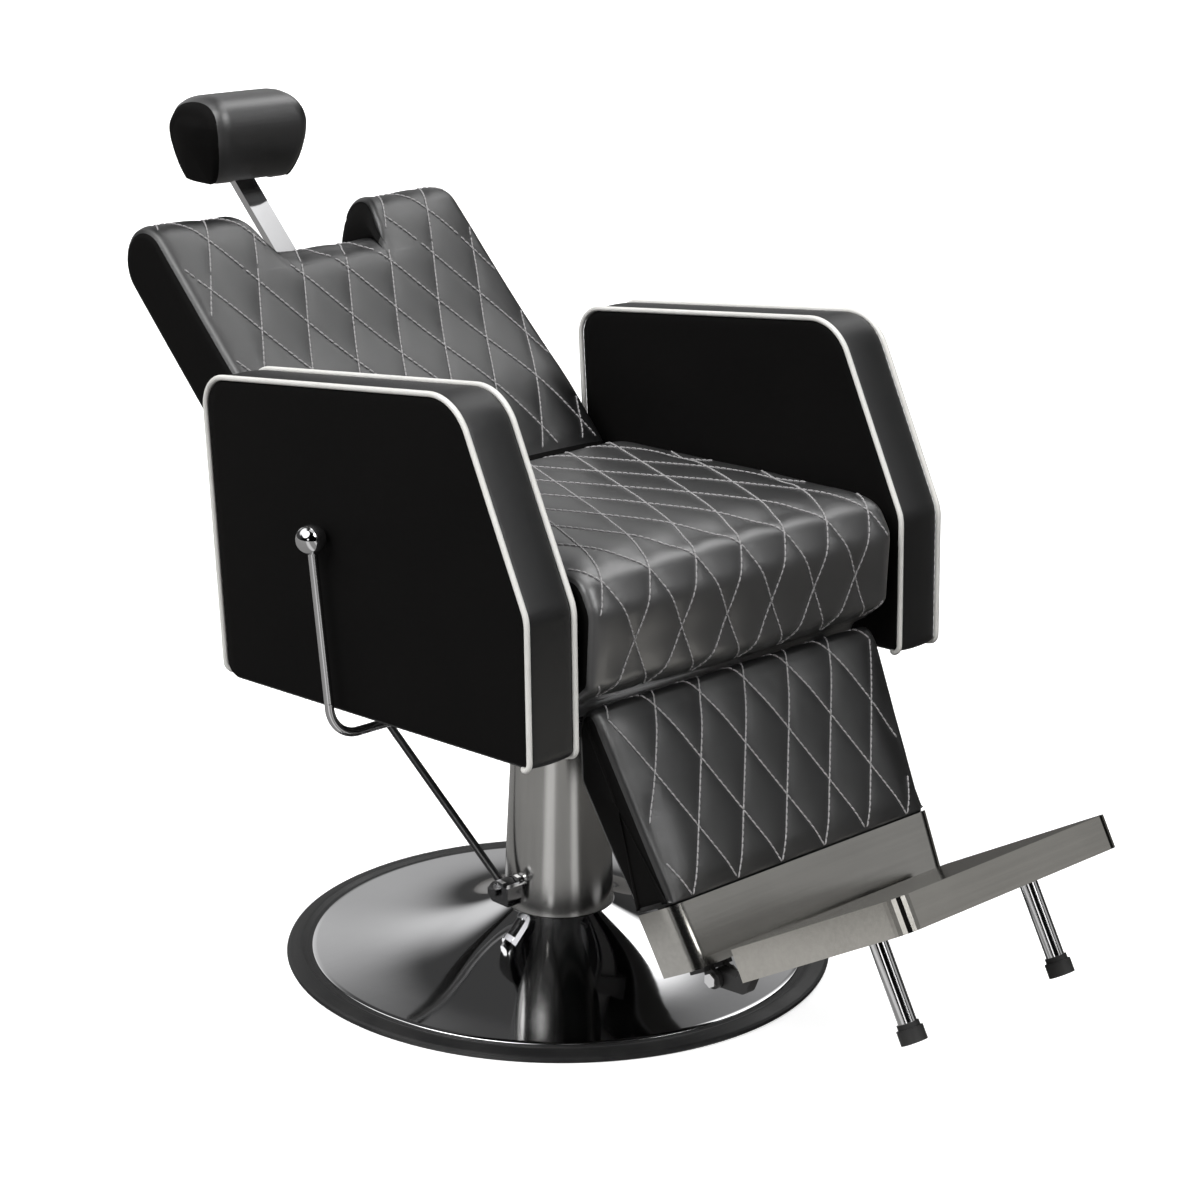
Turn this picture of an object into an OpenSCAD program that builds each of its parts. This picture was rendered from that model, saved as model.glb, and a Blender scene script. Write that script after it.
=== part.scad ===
// Hydraulic barber chair: round weighted base, telescopic column, padded seat with
// panel arms, reclining back, head rest on a flat post, linked leg rest and a
// folding foot platform. Millimetres, +Z up, the sitter faces -Y.
// Origin: centre of the base's underside, on the column axis.

/* [Base and column] */
// Radius of the round base over its rubber rim
base_r = 340; // [320:1:360]
// Height of the weighted base plate
plate_h = 6; // [5:0.5:6]
// Height of the chromed base cover at its neck
neck_z = 66; // [60:1:72]
// Outer radius of the column sleeve at its foot
sleeve_foot_r = 69; // [66:0.5:72]
// Outer radius of the column sleeve at its top
sleeve_top_r = 59; // [58:0.5:60]
// Height of the column sleeve's top edge
sleeve_top_z = 304; // [290:1:305]
// Radius of the lifting ram
ram_r = 25; // [20:0.5:26]

/* [Seat] */
// Half of the width between the arm panels
arm_in = 269; // [266:1:276]
// Thickness of an arm panel
arm_t = 70; // [60:1:80]
// Half of the seat cushion's width
seat_hw = 257; // [240:1:258]
// Top of the seat board
board_top = 432; // [430:1:434]
// Top of the seat cushion at the back
seat_top = 590; // [570:1:595]

/* [Back] */
// Recline of the back from upright, at rest
back_tilt = 46; // [42:1:50]
// Half of the back cushion's width
back_hw = 251; // [240:1:252]
// Thickness of the back
back_t = 100; // [90:1:100]
// Height of the two ears above the recline pivot, along the back
ear_top = 450; // [440:1:455]
// Height of the notch between the ears, along the back
notch_s = 382; // [372:1:390]

/* [Head rest] */
// Half of the head rest pad's width
head_hw = 82; // [76:1:86]
// Width of the flat post
post_w = 32; // [30:1:36]
// Thickness of the flat post
post_t = 10; // [8:0.5:10]

/* [Leg rest and foot platform] */
// Angle of the leg rest from vertical, at rest
leg_tilt = 28; // [27:0.5:29]
// Half of the leg rest's width at its pivot
leg_top_hw = 238; // [234:1:240]
// Half of the leg rest's width at its lower end
leg_low_hw = 213; // [210:1:220]
// Length of the leg rest below its pivot
leg_len = 282; // [275:1:285]
// Height of the stainless band around the leg rest's end
band_h = 75; // [70:1:85]
// Half of the foot platform's width
plat_hw = 182; // [170:1:185]
// Length of the foot platform, back edge to front edge
plat_l = 264; // [250:1:270]
// Depth of the platform's skirt
skirt = 38.5; // [30:0.5:42]
// Radius of a platform leg
foot_r = 10.5; // [8:0.5:12]

/* [Hidden] */
$fn = 64;
e = 0.01;
// recline pivot (y, z), leg rest pivot, platform hinge, head rest hinge
H = [208.4, 545.6];
L = [-297, 418];
F = [-432, 150];
plat_tilt = 30;
P0 = [-466, 199.5];
// the cranks of the recline link: length, and angle behind straight down
crank = 80;
crank_a = 30;
CB = [H[0] + crank * sin(crank_a), H[1] - crank * cos(crank_a)];
CL = [L[0] + crank * sin(crank_a), L[1] - crank * cos(crank_a)];
// pump lever pivot and hand lever shaft (y, z)
PL = [8, 99];
pl_a = 35.5;
HS = [3, 361];
LX = -360;
LR = 42;
LB = [31, 593];
hx = 160;
post_n = 36;
post_top = 546;
Q = [H[0] + post_top * sin(back_tilt) + post_n * cos(back_tilt),
     H[1] + post_top * cos(back_tilt) - post_n * sin(back_tilt)];
steel = [0.10, 0.10, 0.11];
chrome = [0.86, 0.87, 0.88];
brushed = [0.72, 0.71, 0.69];
hide = [0.09, 0.09, 0.095];
rubber = [0.05, 0.05, 0.05];

// ---- small helpers ----
// a profile drawn as [y, z] points, extruded along X from x0 to x1
module yz(pts, x0, x1) translate([x0, 0, 0]) rotate([90, 0, 90]) linear_extrude(x1 - x0) polygon(pts);
// a rod along X
module xrod(x0, x1, p, r, fn = 64) translate([x0, p[0], p[1]]) rotate([0, 90, 0]) cylinder(h = x1 - x0, r = r, $fn = fn);
module box(a, b) translate(a) cube([b[0] - a[0], b[1] - a[1], b[2] - a[2]]);
module both() { children(); mirror([1, 0, 0]) children(); }
// a flat link seen along X: round ends about a and b, thickness from x0 to x1
module strap(a, b, ra, rb, x0, x1) {
    d = b - a; l = norm(d); u = d / l; s = [-u[1], u[0]];
    xrod(x0, x1, a, ra); xrod(x0, x1, b, rb);
    yz([a + s * ra, a - s * ra, b - s * rb, b + s * rb], x0, x1);
}
// a straight round bar between two points
module bar(a, b, r) {
    d = b - a; l = norm(d);
    translate(a) rotate([0, acos(d[2] / l), atan2(d[1], d[0])]) cylinder(h = l, r = r, $fn = 32);
}
// corner cutting: each pass doubles the points of a closed outline
function chaikin(p, n) = n == 0 ? p : chaikin([for (i = [0:len(p) - 1]) let (a = p[i], b = p[(i + 1) % len(p)])
    each [a * 0.75 + b * 0.25, a * 0.25 + b * 0.75]], n - 1);
// a polygon with its corners rounded: points are [y, z, radius]
function unit(v) = v / norm(v);
function xy(p) = [p[0], p[1]];
function corner(a, b, c, r, k = 6) = let (u = unit(a - b), v = unit(c - b), h = acos(u * v) / 2,
    t = r / tan(h), o = b + unit(u + v) * r / sin(h), p = b + u * t, q = b + v * t,
    a0 = atan2(p[1] - o[1], p[0] - o[0]), a1 = atan2(q[1] - o[1], q[0] - o[0]),
    da = (a1 - a0 > 180) ? a1 - a0 - 360 : (a1 - a0 < -180) ? a1 - a0 + 360 : a1 - a0)
    r <= 0 ? [b] : [for (i = [0:k]) o + r * [cos(a0 + da * i / k), sin(a0 + da * i / k)]];
function rounded(p, k = 6) = [for (i = [0:len(p) - 1]) each corner(xy(p[(i + len(p) - 1) % len(p)]), xy(p[i]), xy(p[(i + 1) % len(p)]), p[i][2], k)];
// frames that tilt with the back, the leg rest and the platform: -Y is the front, +Z is up along it
module at_back() translate([0, H[0], H[1]]) rotate([-back_tilt, 0, 0]) children();
module at_leg() translate([0, L[0], L[1]]) rotate([-leg_tilt, 0, 0]) children();
module at_plat() translate([0, P0[0], P0[1]]) rotate([-plat_tilt, 0, 0]) children();

// ---- base ----
module base_plate() color(steel) difference() {
    cylinder(h = plate_h, r = base_r - 26, $fn = 128);
    for (a = [45:90:315]) rotate(a) translate([66, 0, 3]) cylinder(h = plate_h, r = 5);
}
module rim_ring() color(rubber) rotate_extrude($fn = 128) translate([base_r - 40, 0]) polygon([
    [14, 0], [36, 0], [39, 1], [40, 3], [39, 5.5], [36, 7.3], [28, 9.8], [23, 11], [20, 11.2], [17, 9.8], [14, 8.6], [0, 8.6], [0, plate_h], [14, plate_h]]);
// the cover's trumpet: a low cone over the plate, sweeping up to the neck
neck_r = 68;
cover_r = base_r - 33;
function cover_z(r) = let (t = (cover_r - r) / (cover_r - neck_r)) 10.2 + 24 * t + (neck_z - 34.2) * pow(t, 3.2);
function cover_ring(i) = neck_r + (cover_r - neck_r) * pow(i / 22, 1.8);
module base_cover() color(chrome) rotate_extrude($fn = 128) polygon(concat(
    [for (i = [0:22]) [cover_ring(i), cover_z(cover_ring(i))]],
    [for (i = [22:-1:0]) [cover_ring(i) - (i == 0 ? 1.5 : 0.4), cover_z(cover_ring(i)) - 1.6]]));
module pump_body() color(steel) difference() {
    union() {
        translate([0, 0, plate_h]) cylinder(h = 12, r = 80);
        translate([0, 0, plate_h + 12]) cylinder(h = 236 - plate_h - 12, r = 42);
    }
    translate([0, 0, 24]) cylinder(h = 300, r = 34);
    for (a = [45:90:315]) rotate(a) translate([66, 0, 0]) cylinder(h = 40, r = 5);
}
module pump_bolts() color(chrome) for (a = [45:90:315]) rotate(a) translate([66, 0, 0]) {
    translate([0, 0, 3]) cylinder(h = plate_h + 9 + e, r = 5);
    translate([0, 0, plate_h + 12]) cylinder(h = 6, r = 9, $fn = 6);
}
module gland_nut() color(brushed) difference() {
    union() {
        translate([0, 0, 236]) cylinder(h = 14, r = 41);
        translate([0, 0, 216]) cylinder(h = 20, r = 34);
    }
    translate([0, 0, 200]) cylinder(h = 60, r = ram_r + 0.05);
    translate([0, 0, 226]) cylinder(h = 6, r = ram_r + 4);
}
module column_sleeve() color(brushed) difference() {
    rotate_extrude($fn = 96) polygon([[sleeve_foot_r - 2, neck_z], [sleeve_foot_r, neck_z],
        [sleeve_top_r, sleeve_top_z], [sleeve_top_r - 2, sleeve_top_z]]);
    box([-80, -9, 83], [-50, 18, 109]);
}
module sleeve_collar() color(steel) translate([0, 0, sleeve_top_z]) rotate_extrude($fn = 96)
    polygon([[sleeve_top_r - 2.4, 0], [sleeve_top_r + 1.5, 0], [sleeve_top_r + 1.5, 5], [sleeve_top_r, 7], [sleeve_top_r - 2.4, 7]]);
module lever_clevis() color(steel) difference() {
    union() {
        for (x = [-101, -74.4]) yz(rounded([[PL[0] - 16, 84, 3], [PL[0] + 6, 84, 5], [PL[0] + 14, PL[1], 12], [PL[0], 114, 12], [PL[0] - 16, 112, 4]]), x, x + 6);
        box([-101, PL[0] - 24, 84], [-68.4, PL[0] - 15, 108]);
        box([-69, PL[0] - 14, 86], [-41, PL[0] + 6, 100]);
    }
    xrod(-120, -60, PL, 5);
    xrod(-68.4, -60, PL, 8.5);
    cylinder(h = 200, r = 42);
}
module lever_pin() color(chrome) {
    xrod(-101.6, -67.8, PL, 5);
    xrod(-106, -101, PL, 8.5, 6);
    xrod(-68.4, -65.4, PL, 7.5, 6);
}
// ---- foot lever ----
pl_u = [0, cos(pl_a), sin(pl_a)];
pl_end = [-84.5, PL[0], PL[1]] + pl_u * 280;
module pump_lever() color(steel) difference() {
    union() {
        xrod(-94, -75.4, PL, 11.5);
        bar([-84.5, PL[0], PL[1]], pl_end, 5);
        translate(pl_end) sphere(r = 5, $fn = 32);
        bar(pl_end, pl_end + [46, 0, 0], 5);
    }
    xrod(-120, -60, PL, 5.05);
}
module foot_pad() color(rubber) difference() {
    xrod(pl_end[0] + 6, pl_end[0] + 50, [pl_end[1], pl_end[2]], 11);
    bar(pl_end, pl_end + [46, 0, 0], 5);
}
// ---- lifting ram ----
module lift_ram() color(chrome) {
    translate([0, 0, 50]) cylinder(h = 316, r = ram_r);
    translate([0, 0, 30]) cylinder(h = 20, r = 33.95);
}
module ram_seal() color(rubber) difference() {
    translate([0, 0, 226]) cylinder(h = 6, r = ram_r + 4);
    translate([0, 0, 220]) cylinder(h = 20, r = ram_r + 0.05);
}
module ram_flange() color(steel) {
    translate([0, 0, 366]) cylinder(h = 8, r = 64);
    translate([0, 0, 374]) cylinder(h = 15, r = 20);
}
module upper_sleeve() color(brushed) translate([0, 0, 150]) difference() {
    cylinder(h = 216, r = 55, $fn = 96);
    translate([0, 0, -1]) cylinder(h = 220, r = 53, $fn = 96);
}
// ---- swivel and seat frame ----
module thrust_bearing() color(brushed) difference() {
    translate([0, 0, 374]) cylinder(h = 5, r = 48);
    translate([0, 0, 370]) cylinder(h = 12, r = 22);
}
module swivel_plate() color(steel) difference() {
    box([-100, -105, 379], [100, 105, 387]);
    translate([0, 0, 370]) cylinder(h = 30, r = 20.05);
}
module seat_frame() color(steel) difference() {
    union() {
        both() box([145, -248, 387], [175, 165, 417]);
        for (y = [-185, -75, 45, 110]) box([-145, y, 387], [145, y + 30, 417]);
        // front and back bars that carry the leg rest lugs and the hinge plates
        box([-241, -248, 392], [241, -248 + 25, 417]);
        box([-261, 165, 392], [261, 195, 417]);
    }
    // the bars are channels, open below
    both() box([149, -219, 380], [171, 161, 413]);
    for (y = [-185, -75, 45, 110]) box([-141, y + 4, 380], [141, y + 26, 413]);
    both() box([179, -244, 380], [237, -227, 413]);
    box([-141, -244, 380], [141, -227, 413]);
    both() box([179, 169, 380], [257, 191, 413]);
    box([-141, 169, 380], [141, 191, 413]);
}
module seat_board() color([0.72, 0.55, 0.36]) box([-250, -258, 417], [250, 150, board_top]);
seat_prof = rounded([[-262, board_top, 0], [-288, 447, 6], [-313, 470, 20], [-316, 560, 34], [-292, 601, 30],
    [-120, 600, 300], [152, seat_top, 14], [152, board_top, 0]]);
module seat_cushion() color(hide) yz(seat_prof, -seat_hw, seat_hw);
// ---- arms ----
function arm_prof(d) = rounded([[254 - d, 739 - d, 26 - d * 0.5], [-190 + d * 0.4, 794 - d, 60 - d],
    [-304 + d, 571 - d * 0.2, 45], [-310 + d, 402 + d, 10], [223 - d, 377 + d, 10]]);
bolt_at = [[-160, 440], [-160, 462], [80, 440], [80, 462]];
module arm_board(s) color([0.72, 0.55, 0.36]) difference() {
    yz(arm_prof(24), s > 0 ? arm_in + 20 : -arm_in - 50, s > 0 ? arm_in + 50 : -arm_in - 20);
    for (p = bolt_at) xrod(s > 0 ? 250 : -310, s > 0 ? 310 : -250, p, 4, 24);
}
module arm_shell(s) color(hide) difference() {
    yz(arm_prof(0), s > 0 ? arm_in : -arm_in - arm_t, s > 0 ? arm_in + arm_t : -arm_in);
    yz(arm_prof(24), s > 0 ? arm_in + 20 : -arm_in - 50, s > 0 ? arm_in + 50 : -arm_in - 20);
    for (p = bolt_at) xrod(s > 0 ? 250 : -300, s > 0 ? 300 : -250, p, 4, 24);
}
module arm_board_right() arm_board(-1);
module arm_board_left() arm_board(1);
module arm_right() arm_shell(-1);
module arm_left() arm_shell(1);
module arm_brackets() color(steel) both() for (y = [-180, 60]) difference() {
    union() {
        box([175, y, 412], [arm_in, y + 40, 417]);
        box([arm_in - 5, y, 417], [arm_in, y + 40, 478]);
    }
    for (p = bolt_at) xrod(250, 290, p, 4, 24);
}
module arm_bolts() color(chrome) both() for (p = bolt_at) {
    xrod(arm_in - 5 - e, arm_in + 31, p, 4, 24);
    xrod(arm_in - 9, arm_in - 5, p, 6.5, 6);
}
// ---- recline hinge ----
module hinge_plates() color(steel) both() difference() {
    union() {
        strap([196, 420], H, 20, 22, 261, 266);
        yz([[165, 392], [222, 392], [222, 424], [165, 424]], 261, 266);
    }
    xrod(250, 270, H, 8);
}
module recline_pins() color(chrome) both() {
    xrod(253.8, 266.4, H, 8);
    xrod(266, 268.5, H, 12, 24);
}
module leg_hinge_lugs() color(steel) both() difference() {
    strap([-240, 400], L, 8, 10, 204.5, 209.5);
    xrod(190, 220, L, 5);
    box([200, -248, 380], [215, -210, 430]);
}
module leg_hinge_pins() color(chrome) both() {
    xrod(198.4, 210, L, 5);
    xrod(209.5, 212, L, 8.5, 24);
}
// ---- hand lever and its friction lock ----
module lever_bearing() color(steel) difference() {
    union() {
        box([-190, HS[0] - 27, 379], [-145, HS[0] + 27, 387]);
        box([-178, HS[0] - 13, HS[1]], [-160, HS[0] + 13, 379]);
        xrod(-190, -150, HS, 13);
    }
    xrod(-200, -140, HS, 5.55);
}
module lock_caliper() color(brushed) box([-139, -42, 334], [-134, -24, 387]);
LD = unit([0, LB[0] - HS[0], LB[1] - HS[1] - LR]);
module hand_lever() color(chrome) {
    xrod(LX + LR, -140, HS, 5.5, 48);
    translate([LX + LR, HS[0], HS[1]]) sphere(r = 5.6, $fn = 48);
    // the bend: a quarter ring from the shaft up into the handle
    translate([LX + LR, HS[0], HS[1] + LR]) rotate([90, 0, 0]) rotate([0, 0, 180]) rotate_extrude(angle = 90, $fn = 96) translate([LR, 0]) circle(r = 5.5, $fn = 48);
    translate([LX, HS[0], HS[1] + LR]) sphere(r = 5.6, $fn = 48);
    bar([LX, HS[0], HS[1] + LR], [LX, LB[0], LB[1]] - LD * 8, 5.5);
}
module lever_ball() color(chrome) difference() {
    translate([LX, LB[0], LB[1]]) sphere(r = 18, $fn = 64);
    bar([LX, HS[0], HS[1] + LR], [LX, LB[0], LB[1]] - LD * 8, 5.5);
}
module lock_cam() color(steel) difference() {
    union() {
        xrod(-147, -141, HS, 12);
        strap(HS, HS + [-26, -6], 11, 7, -147, -141);
    }
    xrod(-150, -130, HS, 5.5, 48);
}
// ---- recline link ----
module link_bars() color(steel) both() difference() {
    union() {
        strap(CL, [226, 342], 12, 9, 127, 133);
        strap([226, 342], CB, 9, 12, 127, 133);
    }
    xrod(120, 140, CB, 6.05);
    xrod(120, 140, CL, 6.6);
}
// ---- back ----
// outline in [y, z] of the back's own frame: round foot about the pivot, rolled top
function back_outline(top) = concat(
    [for (i = [0:12]) let (a = 180 + 15 * i) back_t / 2 * [cos(a), sin(a)]],
    [for (i = [0:12]) let (a = 15 * i) [back_t / 2 * cos(a), top - back_t / 2 + back_t / 2 * sin(a)]]);
module back_cushion() color(hide) at_back() difference() {
    yz(back_outline(ear_top), -back_hw, back_hw);
    // the notch between the ears, rolled like the ears
    difference() {
        translate([0, 0, 0]) rotate([90, 0, 0]) linear_extrude(140, center = true)
            polygon([[-78, notch_s - 50], [78, notch_s - 50], [110, ear_top + 5], [-110, ear_top + 5]]);
        yz(back_outline(notch_s), -120, 120);
    }
    frame_space();
    // slots for the cranks and the post, and the room of the rear cover
    both() box([118, -18, -70], [126, 90, 30]);
    translate([-24, post_n - 10, 125]) cube([48, 20, 335]);
    box([-220, back_t / 2 - 4, 30], [220, back_t / 2 + 5, notch_s - 60]);
}
module frame_space() {
    xrod(-260, 260, [0, 0], 16);
    both() box([200, -13, 0], [228, 13, 372]);
    box([-200, -13, 300], [200, 13, 328]);
    box([-200, -13, 110], [200, 13, 136]);
    both() for (s = [60, 105]) xrod(194, 260, [0, s], 4, 24);
}
module back_frame() color(steel) at_back() difference() {
    union() {
        xrod(-253.5, 253.5, [0, 0], 16);
        both() box([200, -13, 10], [228, 13, 372]);
        box([-200, -13, 300], [200, 13, 328]);
        box([-200, -13, 110], [200, 13, 136]);
    }
    // the uprights and rails are tubes, open at the top
    both() box([203, -10, 24], [225, 10, 380]);
    box([-210, -10, 303], [210, 10, 325]);
    box([-210, -10, 113], [210, 10, 133]);
    both() for (s = [60, 105]) xrod(195, 260, [0, s], 4, 24);
}
module back_hinge_arms() color(steel) at_back() both() difference() {
    union() {
        strap([0, 0], [0, 120], 20, 15, 253.5, 259.5);
    }
    xrod(250, 262, [0, 0], 8.05);
    for (s = [60, 105]) xrod(250, 262, [0, s], 4, 24);
}
module hinge_bolts() color(chrome) at_back() both() for (s = [60, 105]) {
    xrod(195, 259.6, [0, s], 4, 24);
    xrod(259.5, 264, [0, s], 7, 6);
}
module link_cranks() color(steel) {
    both() difference() {
        strap(H, CB, 17, 12, 119, 125);
        xrod(110, 130, H, 16);
        xrod(110, 130, CB, 6);
    }
    both() { xrod(119, 134, CB, 6); xrod(134, 137, CB, 9, 24); }
}
module back_cover() color(hide) at_back() box([-220, back_t / 2 - 4, 30], [220, back_t / 2, notch_s - 60]);
module post_guide() color(steel) at_back() difference() {
    box([-24, post_n - 8, 235], [24, post_n + 8, 372]);
    box([-post_w / 2 - 0.3, post_n - post_t / 2 - 0.3, 200], [post_w / 2 + 0.3, post_n + post_t / 2 + 0.3, 420]);
}
// ---- head rest ----
module headrest_post() color(chrome) at_back() difference() {
    union() {
        box([-post_w / 2, post_n - post_t / 2, 215], [post_w / 2, post_n + post_t / 2, post_top - 4]);
        xrod(-post_w / 2, post_w / 2, [post_n, post_top], 7.5);
    }
    xrod(-40, 40, [post_n, post_top], 4.05);
}
module headrest_bracket() color(steel) difference() {
    union() {
        box([-30, Q[0] - 18, Q[1] + 8], [30, Q[0] + 14, Q[1] + 10.5]);
        both() strap(Q, Q + [3, 3], 7, 6, post_w / 2 + 1, post_w / 2 + 6);
    }
    xrod(-40, 40, Q, 4);
}
module headrest_pin() color(chrome) {
    xrod(-post_w / 2 - 9, post_w / 2 + 9, Q, 4);
    both() xrod(post_w / 2 + 6, post_w / 2 + 9, Q, 6, 24);
}
// outline of the pad's end relative to its hinge: flat foot, full rounded top
head_pts = chaikin([[-39, -6.5], [-12, -6.5], [21, -6], [38, -2], [54, 37], [57, 69], [32, 102], [-24, 109], [-61, 92], [-67, 43]], 3);
// half of the pad seen from the front: narrower at its foot, domed ends
head_end = [[0.79, -9], [0.89, 20], [0.97, 46], [1, 68], [0.96, 90], [0.84, 110]];
module headrest_pad() color(hide) difference() {
    intersection() {
        yz([for (p = head_pts) p + Q], -head_hw, head_hw);
        translate([0, Q[0] + 90, Q[1]]) rotate([90, 0, 0]) linear_extrude(180) polygon(concat(
            [for (p = head_end) [p[0] * head_hw, p[1]]], [for (i = [5:-1:0]) [-head_end[i][0] * head_hw, head_end[i][1]]]));
        translate([0, Q[0], Q[1] - 20]) linear_extrude(150) polygon(rounded([[-head_hw, -68, 28], [head_hw, -68, 28], [head_hw, 58, 28], [-head_hw, 58, 28]], 5));
    }
    // the room of its hinge, open below
    box([-31, Q[0] - 33.5, Q[1] - 20], [31, Q[0] + 15, Q[1] + 10.5]);
}
// ---- leg rest ----
leg_prof = [[-16, 8], [-13, 19], [-7, 26], [3, 27.5], [13, 24], [24, 12], [56, -44], [54, -120], [49, -leg_len + band_h], [-16, -leg_len + band_h]];
function leg_w(z) = leg_top_hw + (leg_top_hw - leg_low_hw) * z / leg_len;
leg_flare = atan((leg_top_hw - leg_low_hw) / leg_len);
// the leg rest narrows to its lower end: a slab with that outline, grown by d
module leg_slab(d, y0, y1, z0, z1) translate([0, y1, 0]) rotate([90, 0, 0]) linear_extrude(y1 - y0) polygon([
    [-leg_w(z0) - d, z0], [leg_w(z0) + d, z0], [leg_w(z1) + d, z1], [-leg_w(z1) - d, z1]]);
module leg_cushion() color(hide) at_leg() difference() {
    intersection() {
        yz(leg_prof, -260, 260);
        leg_slab(0, -60, 90, -leg_len, 40);
    }
    box([-199, 16, -leg_len + 2], [199, 28, -40]);
    both() box([118.5, 0, -75], [125.5, 60, -20]);
    // slots for the hinge
    both() box([197.5, -11.5, -28], [213.5, 100, 60]);
    both() box([198.5, -11.5, -104], [204.5, 34, -20]);
    // room for the end of the link
    both() box([125, 53.5, -62], [141, 80, -24]);
}
module leg_board() color([0.72, 0.55, 0.36]) at_leg() difference() {
    box([-199, 16, -leg_len + 12], [199, 28, -40]);
    both() box([118.5, 0, -75], [125.5, 60, -20]);
}
// a stainless band that wraps the end of the leg rest: flat front with rounded bends
module band_block(d, r) difference() {
    leg_slab(2.5 - d, -18.5 + d, 36 + d * 2, -leg_len - (d > 0 ? 5 : 0), -leg_len + band_h + (d > 0 ? 5 : 0));
    both() translate([leg_w(-leg_len) + 2.5 - d, -18.5 + d, -leg_len]) rotate([0, leg_flare, 0]) difference() {
        translate([-r, -3, -20]) cube([r + 3, r + 3, band_h + 50]);
        translate([-r, r, -30]) cylinder(h = band_h + 80, r = r, $fn = 96);
    }
}
module leg_band() color(brushed) at_leg() {
    difference() {
        band_block(0, 21);
        intersection() {
            band_block(2.5, 18.5);
            box([-300, -60, -leg_len + 2], [300, 60, 0]);
        }
    }
}
module leg_hinge_arms() color(steel) both() difference() {
    strap(L, L + [22 * cos(leg_tilt) - 90 * sin(leg_tilt), -22 * sin(leg_tilt) - 90 * cos(leg_tilt)], 10, 8, 199, 204);
    xrod(190, 215, L, 5.05);
}
module leg_horns() color(steel) {
    both() {
        strap(CL, L + [18 * cos(leg_tilt) - 60 * sin(leg_tilt), -18 * sin(leg_tilt) - 60 * cos(leg_tilt)], 12, 12, 119, 125);
        xrod(119, 134, CL, 6); xrod(134, 137, CL, 9, 24);
    }
}
module footrest_bracket() color(steel) difference() {
    union() {
        for (s = [-1, 1]) {
            translate([s * hx, 0, 0]) {
                for (x = [-14, 8]) strap(F, L + [10 * cos(leg_tilt) - (leg_len + 6) * sin(leg_tilt), -10 * sin(leg_tilt) - (leg_len + 6) * cos(leg_tilt)], 11, 6, x, x + 6);
            }
        }
        at_leg() both() box([hx - 22, 5, -leg_len - 7], [hx + 22, 30, -leg_len]);
    }
    for (s = [-1, 1]) xrod(s * hx - 30, s * hx + 30, F, 5);
    at_leg() box([-300, -60, -leg_len], [300, 60, -leg_len + 20]);
}
module footrest_pin() color(chrome) for (s = [-1, 1]) {
    xrod(s * hx - 16.5, s * hx + 16.5, F, 5);
    xrod(s * hx - 19, s * hx - 14, F, 8.5, 6);
    xrod(s * hx + 14, s * hx + 19, F, 8.5, 6);
}
// ---- foot platform ----
// each arm is cranked so that it passes under the leg rest's edge when the platform folds
FE = [F[0] - 36.7, F[1] + 1.7];
FP = [P0[0] - 16 * cos(plat_tilt) - 14 * sin(plat_tilt), P0[1] + 16 * sin(plat_tilt) - 14 * cos(plat_tilt)];
module footrest_arms() color(steel) for (s = [-1, 1]) difference() {
    union() {
        strap(F, FE, 10, 9, s * hx - 7, s * hx + 7);
        strap(FE, FP, 9, 9, s * hx - 7, s * hx + 7);
        at_plat() box([s * hx - 7, -70, -21], [s * hx + 7, -14, -3]);
    }
    xrod(s * hx - 20, s * hx + 20, F, 5.05);
}
plat_pts = rounded([[-plat_hw, 0, 0], [-plat_hw, -plat_l, 20], [plat_hw, -plat_l, 20], [plat_hw, 0, 0]]);
plat_in = rounded([[-plat_hw + 2.5, 1, 0], [-plat_hw + 2.5, -plat_l + 2.5, 17.5], [plat_hw - 2.5, -plat_l + 2.5, 17.5], [plat_hw - 2.5, 1, 0]]);
module footrest_platform() color(chrome) at_plat() difference() {
    translate([0, 0, -skirt]) linear_extrude(skirt) polygon(plat_pts);
    translate([0, 0, -skirt - 1]) linear_extrude(skirt - 2) polygon(plat_in);
}
leg_u = [0, -sin(plat_tilt), -cos(plat_tilt)];
function plat_leg(s) = [s * 127, P0[0] - 163 * cos(plat_tilt) - 3 * sin(plat_tilt), P0[1] + 163 * sin(plat_tilt) - 3 * cos(plat_tilt)];
leg_drop = skirt + 112;
module footrest_legs() color(chrome) for (s = [-1, 1]) bar(plat_leg(s), plat_leg(s) + leg_u * (leg_drop - 10), foot_r);
module footrest_tips() color(rubber) for (s = [-1, 1]) difference() {
    union() {
        bar(plat_leg(s) + leg_u * (leg_drop - 16), plat_leg(s) + leg_u * leg_drop, 15);
        bar(plat_leg(s) + leg_u * (leg_drop - 22), plat_leg(s) + leg_u * (leg_drop - 16 + e), 12.5);
    }
    bar(plat_leg(s), plat_leg(s) + leg_u * (leg_drop - 10), foot_r);
}

base_plate();
rim_ring();
base_cover();
pump_body();
pump_bolts();
gland_nut();
column_sleeve();
sleeve_collar();
lever_clevis();
lever_pin();
pump_lever();
foot_pad();
lift_ram();
ram_seal();
ram_flange();
upper_sleeve();
thrust_bearing();
swivel_plate();
seat_frame();
seat_board();
seat_cushion();
arm_board_right();
arm_board_left();
arm_right();
arm_left();
arm_brackets();
arm_bolts();
hinge_plates();
recline_pins();
leg_hinge_lugs();
leg_hinge_pins();
lever_bearing();
lock_caliper();
hand_lever();
lever_ball();
lock_cam();
link_bars();
back_frame();
back_hinge_arms();
hinge_bolts();
link_cranks();
back_cushion();
back_cover();
post_guide();
headrest_post();
headrest_bracket();
headrest_pin();
headrest_pad();
leg_board();
leg_hinge_arms();
leg_horns();
leg_cushion();
leg_band();
footrest_bracket();
footrest_pin();
footrest_arms();
footrest_platform();
footrest_legs();
footrest_tips();
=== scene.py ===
"""Looks of a hydraulic barber chair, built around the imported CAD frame."""
import math

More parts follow.
